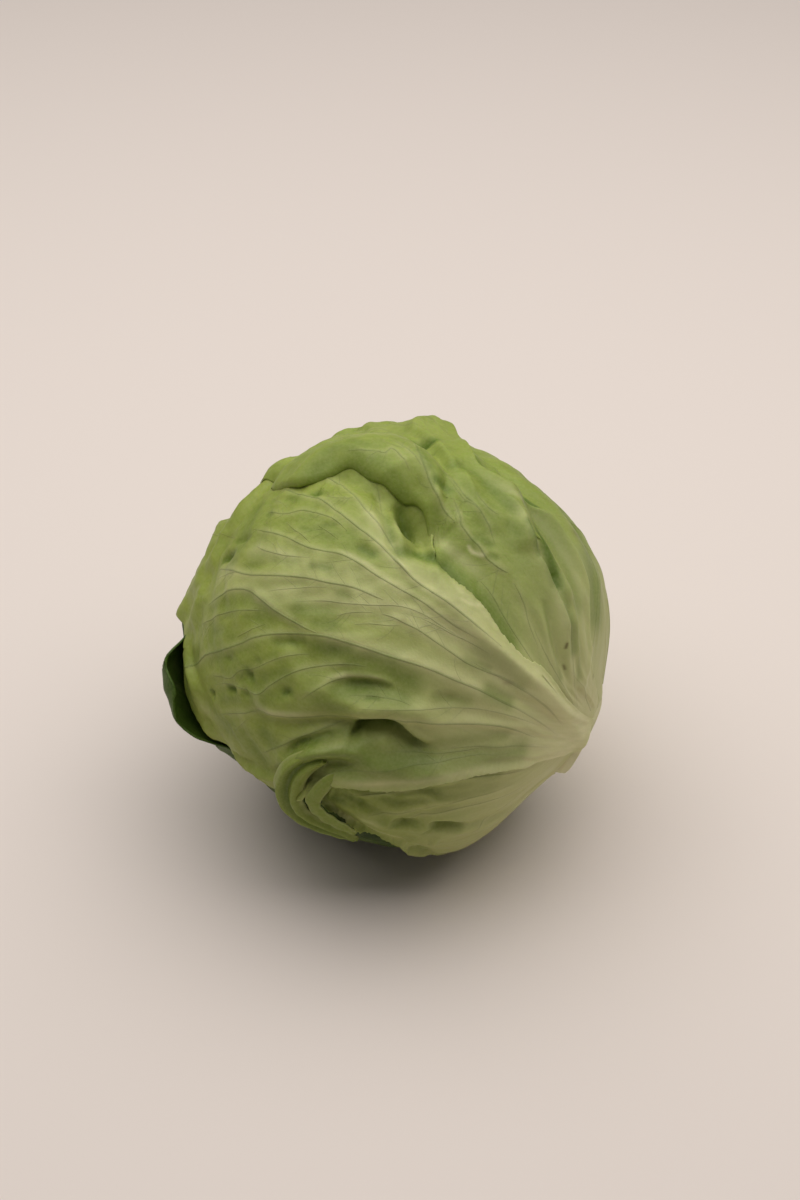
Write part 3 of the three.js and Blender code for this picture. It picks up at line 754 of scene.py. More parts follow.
def make_leaf(leaf, rows, columns, colours, relief=(), veins=(), dark=(), pale_and_highlight=(),
              brown=(), twigs=120, veins_grow=lambda n: np.ones(len(n))):
    """Lays one leaf on the head: a fine grid, shaped, then given its thickness."""
    lines = list(veins) + grown_veins(leaf, veins_grow)
    # Colour marks: painted shade over a deeper green, and painted highlight over pale tissue.
    leaf["relief"], leaf["dark"], leaf["pale_and_highlight"], leaf["brown"] = relief, dark, pale_and_highlight, brown
    leaf["shoulders"] = [(3.0 * left, 3.0 * right, points, values)
                         for left, right, points, values in lines]
    piece, share, run = new_grid(leaf["name"] + "_blade", columns, rows)
    run = run ** ROW_CROWDING
    low, high = np.full(share.shape, -20.0), np.full(share.shape, 40.0)
    for _ in range(26):
        along = (low + high) / 2
        near, far = sides_at(leaf, along)
        across = near + share * (far - near)
        inner = theta_of(leaf_direction(leaf, np.maximum(0.0, along), across))
        low = np.where(inner < LEAF_BASE_ANGLE, along, low)
        high = np.where(inner < LEAF_BASE_ANGLE, high, along)
    start = np.maximum(0.0, high)
    along = start + run * (tip_at(leaf, share) - start)
    near, far = sides_at(leaf, along, fine=True)
    across = near + share * (far - near)

    # An edge that is rolled under turns down round a small bend.
    drop = np.zeros(len(share))
    for side, edge, sign in (("near", near, 1.0), ("far", far, -1.0)):
        amount = roll_share(leaf, side, along)
        bend = leaf["roll"].get(side + "_radius", 2.2)
        inside = (across - edge) * sign * HEAD_SCALE
        turned = ROLL_ANGLE * np.clip(1.0 - inside / bend, 0.0, 1.0)
        bent = np.where(inside < bend, bend * (1.0 - np.sin(turned)), inside)
        inside = inside + amount * (bent - inside)
        drop += amount * bend * (1.0 - np.cos(turned))
        across = edge + sign * inside / HEAD_SCALE
    n = leaf_direction(leaf, along, across)

    # An edge that stands off the leaf below it lifts towards its rim.
    for side, edge, sign in (("near", near, 1.0), ("far", far, -1.0)):
        for low_end, high_end, height, spread in (
                entry[1:] for entry in leaf["lift"] if entry[0] == side):
            inside = (across - edge) * sign * HEAD_SCALE
            window = smooth(along, low_end - 4, low_end + 4) * (
                1 - smooth(along, high_end - 4, high_end + 4))
            drop -= height * window * np.clip(1.0 - inside / spread, 0.0, 1.0) ** 2
    for _, _, _, height, spread in (entry for entry in leaf["lift"] if entry[0] == "tip"):
        inside = (tip_at(leaf, share) - along) * HEAD_SCALE
        drop -= height * np.clip(1.0 - inside / spread, 0.0, 1.0) ** 2

    radius, shares = blade_at(leaf, n, drop)
    set_points(piece, n * radius[:, None])
    lay_flat(piece, np.stack([along, across], axis=1) * HEAD_SCALE / 100.0 + leaf["order"])
    shares["vein"] = np.zeros(len(n))
    for name, values in shares.items():
        add_value(piece, name, values)
    give_thickness(piece, 1.0)
    piece.data.materials.append(leaf_material(leaf["name"] + "_flesh", *colours))
    add_threads(leaf, piece, lines + side_twigs(leaf, lines, twigs, 7 + leaf["order"]))
    return piece


def settle(piece, leaf):
    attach(piece, "root")
    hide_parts(leaf["name"])


PALE_FLESH = (0.69, 0.67, 0.35, 1)
back_leaf = plan_leaf(
    "back_leaf", -110,
    near=[(14, -160), (30, -152), (60, -148), (90, -148), (120, -152), (150, -158)],
    far=[(14, -50), (30, -50), (60, -52), (90, -54), (120, -50), (150, -26)],
    tip=[(0, 183), (0.5, 190), (1, 179)], wave=1.2, teeth=0.5, pale=0.9, fade=95.0)
under_leaf = plan_leaf(
    "under_leaf", 172,
    near=[(14, 116), (30, 112), (60, 103), (84, 101), (102, 106), (112, 114), (120, 122),
          (127, 124), (133, 118), (139, 114), (145, 116), (150, 120), (156, 118)],
    far=[(14, 232), (30, 226), (60, 226), (90, 224), (120, 226), (150, 236)],
    tip=[(0, 174), (0.5, 183), (1, 171)], wave=1.0, teeth=0.5, pale=0.8, fade=80.0)
lower_leaf = plan_leaf(
    "lower_leaf", 105,
    near=[(14, 66), (30, 65), (50, 68), (66, 78), (80, 85), (90, 90), (97, 99)],
    far=[(14, 136), (30, 142), (44, 140), (53, 134), (60, 122), (65, 113), (72, 110),
         (79, 108), (85, 105), (91, 103)],
    tip=[(0, 88), (0.5, 96), (1, 92)], wave=0.8, teeth=0.7, pale=0.7, fade=84.0,
    lift=[("far", 60, 92, 1.6, 4.0)])
right_leaf = plan_leaf(
    "right_leaf", -34,
    near=[(14, -66), (30, -76), (50, -82), (70, -84), (90, -84), (110, -78), (128, -62)],
    far=[(14, 14), (30, 24), (46, 12), (60, 5), (70, 3), (80, 4), (88, 2), (97, -8),
         (106, -24), (114, -38), (126, -48)],
    tip=[(0, 123), (0.5, 130), (1, 119)], wave=1.0, teeth=0.5, pale=0.65, fade=78.0)
top_leaf = plan_leaf(
    "top_leaf", -12,
    near=[(14, 4), (30, 14), (38, 11), (44, 4), (50, -3), (56, -6), (62, -8), (70, -10),
          (76, -9), (82, -8), (88, -9), (93, -13), (97, -24), (102, -38), (112, -50),
          (124, -55), (142, -56), (160, -50)],
    far=[(14, 31), (28, 41), (41, 43), (56, 41), (70, 38), (80, 33), (88, 29), (91, 25),
         (95, 18), (99, 12), (103, 9), (107, 8.5), (112, 7), (118, 4.5), (124, 1),
         (130, 2.5), (135, 5), (139, 6), (144, 4), (152, 0)],
    tip=[(0, 158), (0.4, 158), (0.75, 153), (1, 148)], wave=0.5, teeth=0.12, pale=0.8,
    fade=92.0, stray=0.2,
    roll={"far_radius": 1.8, "far": [(92, 0), (100, 1), (180, 1)],
          "near_radius": 1.5, "near": [(34, 0), (48, 1), (96, 1), (104, 0)]},
    lift=[("near", 46, 98, 0.3, 8.0), ("tip", 0, 0, -1.8, 7.0)])
front_leaf = plan_leaf(
    "front_leaf", 62,
    near=[(14, 28), (28, 38), (40, 38), (51, 35), (61, 36), (68, 34), (75, 30), (81, 29),
          (85, 28), (89, 26), (93, 22), (96, 15), (99, 7), (103, -2), (108, -9), (122, -18),
          (150, -24)],
    far=[(14, 72), (25, 69), (39, 70), (52, 73), (63, 78), (70, 83), (76, 87), (82, 89),
         (87, 91), (91, 93), (95, 103), (100, 110), (106, 115), (114, 118), (122, 121),
         (130, 124), (138, 125), (148, 121)],
    tip=[(0, 178), (0.25, 187), (0.5, 191), (0.72, 188), (0.87, 177), (1, 158)], wave=0.6,
    teeth=0.5, pale=0.95, fade=122.0, stray=0.3,
    roll={"far_radius": 1.7, "far": [(102, 0), (110, 1), (170, 1)]},
    lift=[("far", 40, 92, 1.4, 6.0), ("near", 44, 92, -1.2, 7.0)])
piece = make_leaf(
    back_leaf, 170, 140, ((0.08, 0.15, 0.012, 1), (0.27, 0.34, 0.055, 1), PALE_FLESH))
settle(piece, back_leaf)

# The under leaf: the greener leaf that the head rests on, darker still as painted shade since it
# lies in the head's shadow. It is pressed flat where it lies on the table, and its collar stands
# off the crown at the left.
COLLAR = (138.0, 120.0, 13.0, 10.0)


def collar_marks():
    """The collar as one broad swell: its place, its spread and its height."""
    theta, phi, spread, height = COLLAR
    ends = direction(np.array([theta - 6, theta + 6]), np.array([phi, phi]))
    return [(spread * 0.8, spread * 0.8, ends * HEAD_RADIUS, np.array([height, height]))]


UNDER_RELIEF = [
    (-4.5, 5.0, 330, 830, 352, 838, 378, 842, 400, 848, 420, 862),
]
# Painted shadow in the dark gap below the ribbons' end, where the under leaf lies in deep shade.
UNDER_PAINTED_SHADOW = [
    even(1.0, 7.0, 325, 832, 352, 842, 380, 848, 410, 858),
]
# Its colours are darker than the other leaves' as painted shade, over its own greener tone.
piece = make_leaf(
    under_leaf, 190, 150, ((0.015, 0.04, 0.002, 1), (0.055, 0.11, 0.008, 1), (0.42, 0.45, 0.18, 1)),
    relief=collar_marks() + marks(UNDER_RELIEF), dark=marks(UNDER_PAINTED_SHADOW))
settle(piece, under_leaf)

# The lower leaf: comes out from under the free edge of the front leaf and curves under
# the head, puckered along its lower side.
LOWER_RELIEF = [
    (-4.0, 4.0, 322, 772, 314, 784, 309, 797, 316, 810, 328, 824),
    (-0.9, 2.2, 338, 791, 380, 795, 420, 794, 460, 788, 510, 780),
    (0.8, 2.2, 340, 808, 390, 811, 440, 805, 500, 792, 540, 778),
    (1.4, (3.2, 0.9), 382, 829, 388, 822, 396, 818, 406, 818, 418, 821),
    (1.6, (3.0, 0.9), 420, 835, 426, 826, 434, 822, 446, 821, 460, 822, 476, 825),
    (-1.8, 1.6, 394, 826, 404, 824, 414, 826),
    (-2.2, 1.9, 428, 833, 438, 828, 450, 828, 462, 830),
    (1.2, 2.0, 400, 842, 414, 838, 428, 842, 438, 836, 452, 838),
    (-1.5, 1.8, 408, 848, 420, 846, 434, 850, 446, 846),
]
# Painted shade: the shadow gap under the front leaf's free edge and the dimples between the
# puckers, over a deeper green.
LOWER_SHADE_AND_DEEP_GREEN = [
    (0.75, 2.6, 322, 776, 312, 792, 318, 812),
    even(0.6, 2.4, 338, 788, 355, 790, 378, 792),
    (0.6, 1.5, 331, 800, 341, 801),
    (0.5, 1.6, 350, 800, 360, 804),
    (0.35, 1.8, 385, 803, 400, 803),
    (0.45, 2.4, 424, 792, 438, 797),
    even(0.35, 1.9, 394, 825, 404, 824, 414, 825),
    even(0.4, 2.2, 428, 831, 440, 828, 458, 829),
    (0.4, 2.0, 414, 847, 424, 850),
    even(0.4, 2.2, 440, 782, 470, 779, 500, 777),
]
LOWER_VEINS = [
    (0.7, 0.45, 340, 798, 370, 799, 400, 796, 440, 788, 480, 780, 530, 772),
    (0.6, 0.45, 350, 812, 390, 815, 430, 810, 470, 800, 520, 785),
    (0.6, 0.45, 380, 822, 420, 818, 460, 812, 500, 802, 540, 782),
    (0.5, 0.4, 450, 838, 480, 826, 510, 808, 540, 785),
]
# Painted highlight along the lower leaf's rolled rim and a ridge above it.
LOWER_PALE_AND_HIGHLIGHT = [
    (0.35, 1.2, 326, 801, 336, 813, 352, 824, 368, 828, 386, 834, 404, 838),
    (0.3, 1.6, 345, 814, 372, 820, 392, 826),
]
piece = make_leaf(
    lower_leaf, 210, 130, ((0.09, 0.15, 0.008, 1), (0.29, 0.345, 0.06, 1), PALE_FLESH),
    relief=marks(LOWER_RELIEF), dark=marks(LOWER_SHADE_AND_DEEP_GREEN), veins=marks(LOWER_VEINS),
    pale_and_highlight=marks(LOWER_PALE_AND_HIGHLIGHT), twigs=60,
    veins_grow=lambda n: smooth(n @ direction(np.array(60.0), np.array(150.0)), 0.75, 0.95))
settle(piece, lower_leaf)

# The right leaf: lies on the far shoulder, beyond the last pleat of the top leaf.
RIGHT_RADIUS = 77.5
RIGHT_RELIEF = [
    (-2.4, 3.2, 466, 446, 480, 458, 497, 471, 512, 484, 528, 493, 540, 506, 552, 520, 562, 535,
     573, 550, 584, 572),
    (1.2, 2.6, 486, 448, 500, 458, 514, 468),
    (-1.4, 1.4, 514, 470, 522, 478, 532, 490),
    (1.0, 2.2, 536, 484, 548, 498, 562, 514, 576, 530),
    (-0.8, 2.2, 584, 560, 594, 590, 598, 620, 600, 650),
    (0.8, 1.8, 590, 545, 600, 580, 604, 620, 604, 660),
]
# Painted shade in the valleys beyond the last pleat, over a deeper green.
RIGHT_SHADE_AND_DEEP_GREEN = [
    even(0.9, 2.6, 470, 446, 482, 456, 496, 468, 512, 486),
    even(0.95, 2.6, 522, 480, 540, 499, 556, 519, 571, 543),
    even(0.6, 2.6, 571, 543, 582, 572, 590, 600),
    even(0.5, 6.0, 545, 474, 574, 518, 594, 566, 602, 614),
    (0.95, 2.1, 471, 449, 482, 456),
    (0.6, 3.0, 495, 468, 511, 484),
    (0.95, 1.5, 521, 478, 532, 492),
    (0.9, 2.3, 535, 497, 550, 514),
    (0.85, 2.0, 555, 525, 566, 541),
    (0.4, 2.6, 575, 558, 582, 578),
    (0.4, 2.2, 590, 600, 594, 640),
]
RIGHT_VEINS = [
    (0.6, 0.45, 590, 690, 600, 650, 602, 610, 598, 575, 588, 545, 572, 520),
    (0.5, 0.4, 588, 690, 594, 640, 592, 600, 584, 570),
]
RIGHT_SPOTS = [
    (0.35, 2.0, 578, 531, 583, 536),
]
piece = make_leaf(
    right_leaf, 190, 130, ((0.075, 0.135, 0.006, 1), (0.27, 0.335, 0.055, 1), PALE_FLESH),
    relief=marks(RIGHT_RELIEF, RIGHT_RADIUS), dark=marks(RIGHT_SHADE_AND_DEEP_GREEN, RIGHT_RADIUS),
    veins=marks(RIGHT_VEINS, RIGHT_RADIUS), brown=marks(RIGHT_SPOTS, RIGHT_RADIUS), twigs=90,
    veins_grow=lambda n: 1 - smooth(n @ view_back, 0.0, 0.3))
settle(piece, right_leaf)

# The top leaf: covers the top and the right shoulder in long pleats, and its soft
# rolled edge lies over the front leaf at the crown.
TOP_RADIUS = 78.0
TOP_RELIEF = [
    (1.5, 3.6, 430, 520, 424, 498, 404, 476, 384, 462, 364, 452, 346, 446, 326, 449, 306, 459,
     288, 468, 274, 474),
    (1.6, 2.0, 408, 423, 420, 420, 432, 422, 444, 432),
    (-2.6, 1.9, 412, 427, 424, 430, 437, 434),
    (1.4, (0.9, 4.2), 503, 490, 514, 502, 523, 516, 530, 532, 540, 552, 552, 573, 562, 597,
     571, 625, 578, 660),
    (-2.6, (2.6, 1.6), 528, 518, 538, 536, 549, 556, 558, 576, 566, 602),
    (-2.2, 3.0, 398, 549, 420, 547, 440, 556, 455, 571, 468, 589, 482, 604, 498, 624, 516, 648),
    (-1.5, 2.6, 436, 476, 446, 481, 454, 484),
    (-0.9, 2.4, 455, 456, 463, 462, 470, 468),
    (0.7, 1.5, 586, 712, 575, 690, 562, 655, 552, 620, 545, 592),
    (0.8, 1.3, 587, 708, 580, 680, 574, 645, 569, 612, 563, 590),
    (-0.7, 1.2, 580, 695, 569, 655, 560, 618, 553, 596),
    (0.9, 1.5, 589, 700, 596, 660, 595, 625, 588, 595, 580, 570),
    (-0.8, 1.6, 588, 690, 588, 655, 582, 620, 574, 590),
    (0.6, 2.2, 412, 437, 420, 455, 434, 480, 450, 502, 466, 520),
    (-0.5, 2.0, 510, 500, 514, 520, 520, 540, 530, 560),
]
# Painted shade in the pleats' valleys, the pocket and beside the rolled edge, over a deeper green.
TOP_SHADE_AND_DEEP_GREEN = [
    (0.95, 1.8, 414, 428, 436, 433),
    (0.5, 2.2, 418, 455, 428, 468),
    (0.85, 2.2, 438, 479, 450, 484),
    (0.5, 3.2, 455, 459, 470, 466),
    (0.4, 2.0, 352, 444, 366, 448),
    even(0.35, 2.6, 322, 452, 342, 448, 360, 455),
    (0.45, 1.8, 480, 533, 488, 530),
    (0.55, 1.7, 490, 533, 497, 537),
    (0.5, 1.3, 500, 549, 504, 551),
    (0.4, 2.4, 512, 520, 520, 531),
    even(0.85, 1.7, 527, 524, 534, 538, 542, 552),
    (0.7, 2.2, 548, 560, 557, 582),
    even(0.85, 2.8, 400, 548, 425, 546, 452, 562),
    (0.8, 2.4, 462, 578, 481, 601),
    (0.6, 2.2, 490, 612, 510, 636),
    even(0.72, 4.5, 452, 558, 478, 582, 500, 604, 520, 640),
    even(0.2, 6.0, 452, 470, 490, 505, 522, 545, 545, 590),
    even(0.35, 4.0, 300, 470, 330, 456, 370, 460, 400, 480),
    even(0.95, 2.4, 528, 506, 543, 534, 554, 558, 561, 584),
    even(0.5, 3.0, 470, 466, 492, 484, 512, 506),
    even(0.45, 2.4, 564, 590, 574, 620, 580, 650),
    even(0.4, 4.5, 530, 500, 556, 532, 574, 568, 583, 604),
    even(0.3, 1.3, 553, 600, 562, 640, 572, 680),
    even(0.3, 1.4, 575, 600, 584, 640, 587, 680),
    (0.45, 0.8, 469, 506, 472, 507),
]
TOP_VEINS = [
    (0.8, 0.45, 336, 438, 360, 437, 385, 436, 405, 438, 414, 440),
    (0.7, 0.42, 345, 450, 365, 452, 378, 453, 385, 455, 392, 452, 402, 460, 412, 470),
    (0.8, 0.45, 412, 437, 417, 455, 427, 473, 438, 490, 452, 505, 463, 517),
    (0.7, 0.42, 430, 440, 440, 458, 455, 475, 470, 492, 484, 508, 495, 522, 503, 540),
    (0.7, 0.42, 390, 443, 402, 450, 412, 458, 424, 470),
    (0.6, 0.4, 375, 428, 385, 425, 398, 427, 410, 432),
    (0.7, 0.42, 475, 486, 485, 499, 495, 508, 505, 513),
    (0.9, 0.5, 455, 490, 463, 505, 466, 516, 476, 528, 486, 538, 497, 552, 510, 563, 520, 569),
    (0.6, 0.4, 448, 470, 460, 485, 476, 500, 490, 515, 500, 532),
    (0.6, 0.45, 522, 575, 530, 590, 537, 605, 542, 624, 552, 650),
    (0.6, 0.45, 560, 690, 540, 655, 520, 620, 505, 590, 490, 570),
    (0.5, 0.4, 586, 715, 572, 685, 556, 650, 540, 612),
    (0.5, 0.4, 588, 712, 583, 680, 578, 640, 572, 610),
    (0.5, 0.4, 360, 462, 372, 455, 385, 452),
]
# Painted highlight on the pleat crests and the curled torn bit, with pale tissue along the ribs by
# the stem.
TOP_PALE_AND_HIGHLIGHT = [
    even(0.7, 0.7, 477, 537, 481, 542, 486, 545, 491, 547),
    (0.4, 1.8, 505, 492, 530, 530, 553, 573, 570, 622, 582, 680),
    (0.28, 1.6, 472, 462, 510, 492, 540, 510, 566, 545, 586, 592, 592, 650),
    (0.35, 2.2, 430, 505, 450, 530, 480, 555, 500, 575),
    even(0.6, 1.0, 421, 534, 427, 529, 434, 526),
    (0.35, 1.3, 586, 714, 566, 660, 551, 612),
    (0.35, 1.2, 590, 700, 597, 655, 592, 605),
]
TOP_SPOTS = [
    (0.8, 0.42, 573, 644, 573, 648),
    (0.6, 0.38, 575, 667, 576, 671),
    (0.4, 1.2, 603, 668, 602, 676),
]
piece = make_leaf(
    top_leaf, 248, 160, ((0.085, 0.145, 0.008, 1), (0.285, 0.345, 0.06, 1), PALE_FLESH),
    relief=marks(TOP_RELIEF, TOP_RADIUS), dark=marks(TOP_SHADE_AND_DEEP_GREEN, TOP_RADIUS),
    veins=marks(TOP_VEINS, TOP_RADIUS), pale_and_highlight=marks(TOP_PALE_AND_HIGHLIGHT, TOP_RADIUS),
    brown=marks(TOP_SPOTS, TOP_RADIUS), twigs=170,
    veins_grow=lambda n: 1 - smooth(n @ view_back, 0.0, 0.3))
settle(piece, top_leaf)

# The front leaf: the big leaf that faces the viewer, with its midrib running from the
# stem to the upper left, the arched fold low on the front, and a cut free edge.
FRONT_RELIEF = [
    (0.9, 2.2, 440, 608, 460, 622, 484, 640, 516, 664, 540, 686, 562, 712, 580, 738),
    # pleats beside the pocket
    (-1.8, 1.8, 370, 466, 377, 485, 380, 500, 384, 517, 389, 532, 394, 547, 402, 560),
    (1.3, 1.3, 392, 482, 394, 498, 398, 515, 403, 532, 410, 545),
    (0.9, 1.0, 388, 538, 396, 553, 404, 566, 412, 577),
    (-4.5, 3.4, 402, 486, 407, 502, 412, 517, 416, 528),
    (-2.4, 3.0, 398, 549, 420, 547, 440, 556, 454, 570),
    # arched fold: its lip, the slot over the crest, the crest and the dome
    (1.1, (2.6, 0.7), 346, 746, 350, 736, 357, 727, 370, 722, 383, 721, 394, 723, 403, 729,
     411, 737, 419, 743, 430, 749),
    (-4.2, (0.9, 3.0), 348, 748, 352, 738, 359, 729, 371, 725, 383, 724, 393, 726, 401, 732,
     409, 740, 418, 746, 430, 751),
    (-3.4, (2.4, 0.9), 284, 762, 292, 754, 300, 748, 312, 744, 326, 742, 345, 741),
    (2.0, (0.8, 3.4), 279, 779, 286, 770, 290, 759, 297, 753, 310, 749, 325, 746, 340, 744,
     354, 744, 360, 738, 366, 735),
    (1.4, 3.6, 368, 744, 384, 744, 400, 751),
    (-1.4, 2.6, 312, 760, 330, 761, 348, 763, 370, 763),
    (0.9, 2.0, 322, 770, 340, 775, 360, 777, 385, 778, 410, 776, 435, 770, 465, 766, 500, 764),
    # lobe at the lower left
    (-1.6, 1.6, 300, 768, 302, 780, 300, 792, 304, 802),
    # soft blisters and dimples
    (-1.2, 1.8, 266, 641, 285, 642, 304, 641),
    (-1.3, 3.0, 312, 648, 330, 651, 350, 652),
    (0.9, 1.1, 318, 682, 336, 678, 352, 676, 370, 678, 386, 682, 398, 690),
    (-1.6, 2.2, 326, 692, 350, 687, 375, 687, 396, 694),
    (-0.9, 2.4, 345, 662, 368, 663, 392, 663),
    (-1.1, 2.0, 436, 695, 452, 700, 470, 703),
    (-1.0, 1.6, 360, 699, 372, 699, 384, 699),
    (0.6, 1.6, 243, 578, 250, 588, 262, 598, 276, 610, 292, 620),
    (0.8, 1.5, 253, 688, 254, 700, 259, 710, 272, 715, 290, 717, 330, 716),
    (-1.4, 1.4, 205, 692, 207, 695, 209, 699),
    (-1.6, 1.6, 222, 690, 228, 691, 234, 693),
    (-1.2, 1.4, 238, 693, 243, 694, 248, 697),
    (-1.5, 1.9, 242, 671, 245, 676, 249, 682),
    (-1.4, 1.6, 279, 696, 283, 694, 289, 693),
    (-1.0, 1.5, 220, 657, 224, 659, 229, 662),
    (-2.2, 2.0, 210, 555, 217, 552, 226, 547),
    (-1.0, 2.0, 226, 534, 235, 533, 244, 531),
    (-1.0, 2.2, 352, 541, 364, 547, 376, 555),
    (-1.0, 1.8, 304, 481, 311, 484, 317, 488),
    (0.7, 1.4, 316, 492, 318, 482, 322, 472, 330, 467),
    (0.8, 1.6, 262, 494, 272, 486, 286, 486, 300, 492),
]
FRONT_VEINS = [
    (0.9, 0.5, 245, 523, 262, 527, 280, 532, 296, 540, 310, 546, 326, 549, 342, 553, 358, 561,
     372, 571, 390, 582, 406, 591, 420, 599, 436, 611, 456, 626, 480, 641),
    (0.7, 0.42, 248, 540, 258, 546, 270, 550, 285, 553, 310, 555),
    (1.0, 0.55, 205, 564, 222, 566, 238, 571, 254, 573, 280, 574, 305, 576, 322, 580, 340, 583,
     356, 587, 370, 593, 386, 600),
    (0.6, 0.42, 204, 577, 218, 571, 232, 569, 240, 571),
    (0.5, 0.4, 262, 590, 285, 587, 310, 585, 328, 586),
    (0.6, 0.42, 290, 600, 320, 599, 345, 602, 370, 604, 400, 605, 425, 614, 445, 627, 462, 637),
    (1.0, 0.55, 196, 604, 210, 596, 222, 589, 236, 587, 247, 590, 258, 598, 270, 608, 284, 617,
     300, 626, 318, 634),
    (1.0, 0.6, 180, 672, 190, 664, 200, 655, 214, 651, 232, 645, 248, 638, 264, 634, 285, 633,
     305, 634, 324, 636, 345, 642, 365, 648, 385, 655, 405, 661, 430, 669, 455, 680, 480, 690,
     505, 703, 530, 714),
    (0.7, 0.42, 188, 624, 200, 620, 212, 614, 228, 610, 245, 609, 264, 610),
    (0.5, 0.38, 230, 638, 242, 632, 252, 627, 264, 622),
    (0.5, 0.38, 196, 650, 195, 638, 200, 626, 208, 618),
    (0.6, 0.4, 203, 675, 215, 677, 227, 679, 236, 671, 250, 669, 262, 664, 276, 658, 292, 655,
     308, 655),
    (0.8, 0.45, 208, 687, 220, 684, 234, 687, 246, 692, 256, 695, 266, 687, 280, 678, 296, 671,
     316, 667, 345, 665, 370, 668),
    (0.7, 0.45, 298, 702, 312, 692, 326, 684, 338, 680, 352, 679),
    (0.9, 0.5, 212, 715, 228, 715, 242, 714, 256, 712, 270, 717, 290, 721, 330, 720, 370, 719,
     410, 721, 450, 724, 490, 725, 515, 730, 540, 740),
    (0.8, 0.5, 256, 757, 272, 750, 290, 743, 308, 737, 328, 731, 348, 726),
    (0.5, 0.4, 228, 737, 238, 726, 248, 718),
    (0.8, 0.5, 378, 612, 392, 616, 406, 623, 420, 630, 436, 641, 452, 652, 468, 663, 486, 671,
     506, 679, 530, 692),
    (0.5, 0.4, 330, 616, 345, 612, 362, 611, 376, 612),
    (0.5, 0.4, 350, 624, 370, 623, 390, 625, 404, 624),
    (0.6, 0.45, 418, 616, 436, 624, 454, 634, 470, 642, 492, 656),
    (0.6, 0.42, 345, 696, 370, 697, 395, 699, 414, 706),
    (0.5, 0.4, 355, 707, 400, 708, 440, 709, 480, 710, 515, 717, 545, 728),
    (0.5, 0.4, 380, 752, 420, 757, 460, 753, 500, 747, 545, 743),
    (0.5, 0.4, 330, 770, 370, 768, 420, 764, 470, 756, 520, 750),
    # upper part
    (0.8, 0.45, 306, 470, 320, 467, 335, 472, 346, 483, 358, 496, 368, 509, 380, 522, 391, 538,
     399, 553),
    (1.0, 0.5, 270, 478, 284, 481, 300, 488, 318, 494, 335, 507, 352, 520, 370, 534, 386, 548,
     398, 561, 414, 578, 440, 597, 470, 622, 500, 648),
    (0.7, 0.45, 258, 503, 270, 507, 285, 508, 300, 505, 320, 510, 336, 518, 348, 530),
    (0.6, 0.4, 280, 515, 290, 525, 300, 532, 310, 542),
    (0.5, 0.4, 312, 519, 326, 528, 340, 539),
    (0.5, 0.4, 318, 488, 332, 493, 345, 494, 356, 492),
    (0.6, 0.42, 373, 466, 378, 482, 380, 498, 384, 512),
    (0.4, 0.36, 262, 488, 274, 494, 284, 503),
    # by the stem
    (0.6, 0.5, 470, 660, 495, 674, 520, 688, 545, 706, 566, 728),
    (0.5, 0.5, 480, 690, 510, 705, 540, 722, 562, 738),
    (0.5, 0.5, 440, 752, 480, 748, 520, 746, 556, 748),
    (0.5, 0.5, 505, 632, 520, 650, 540, 672, 560, 700),
]
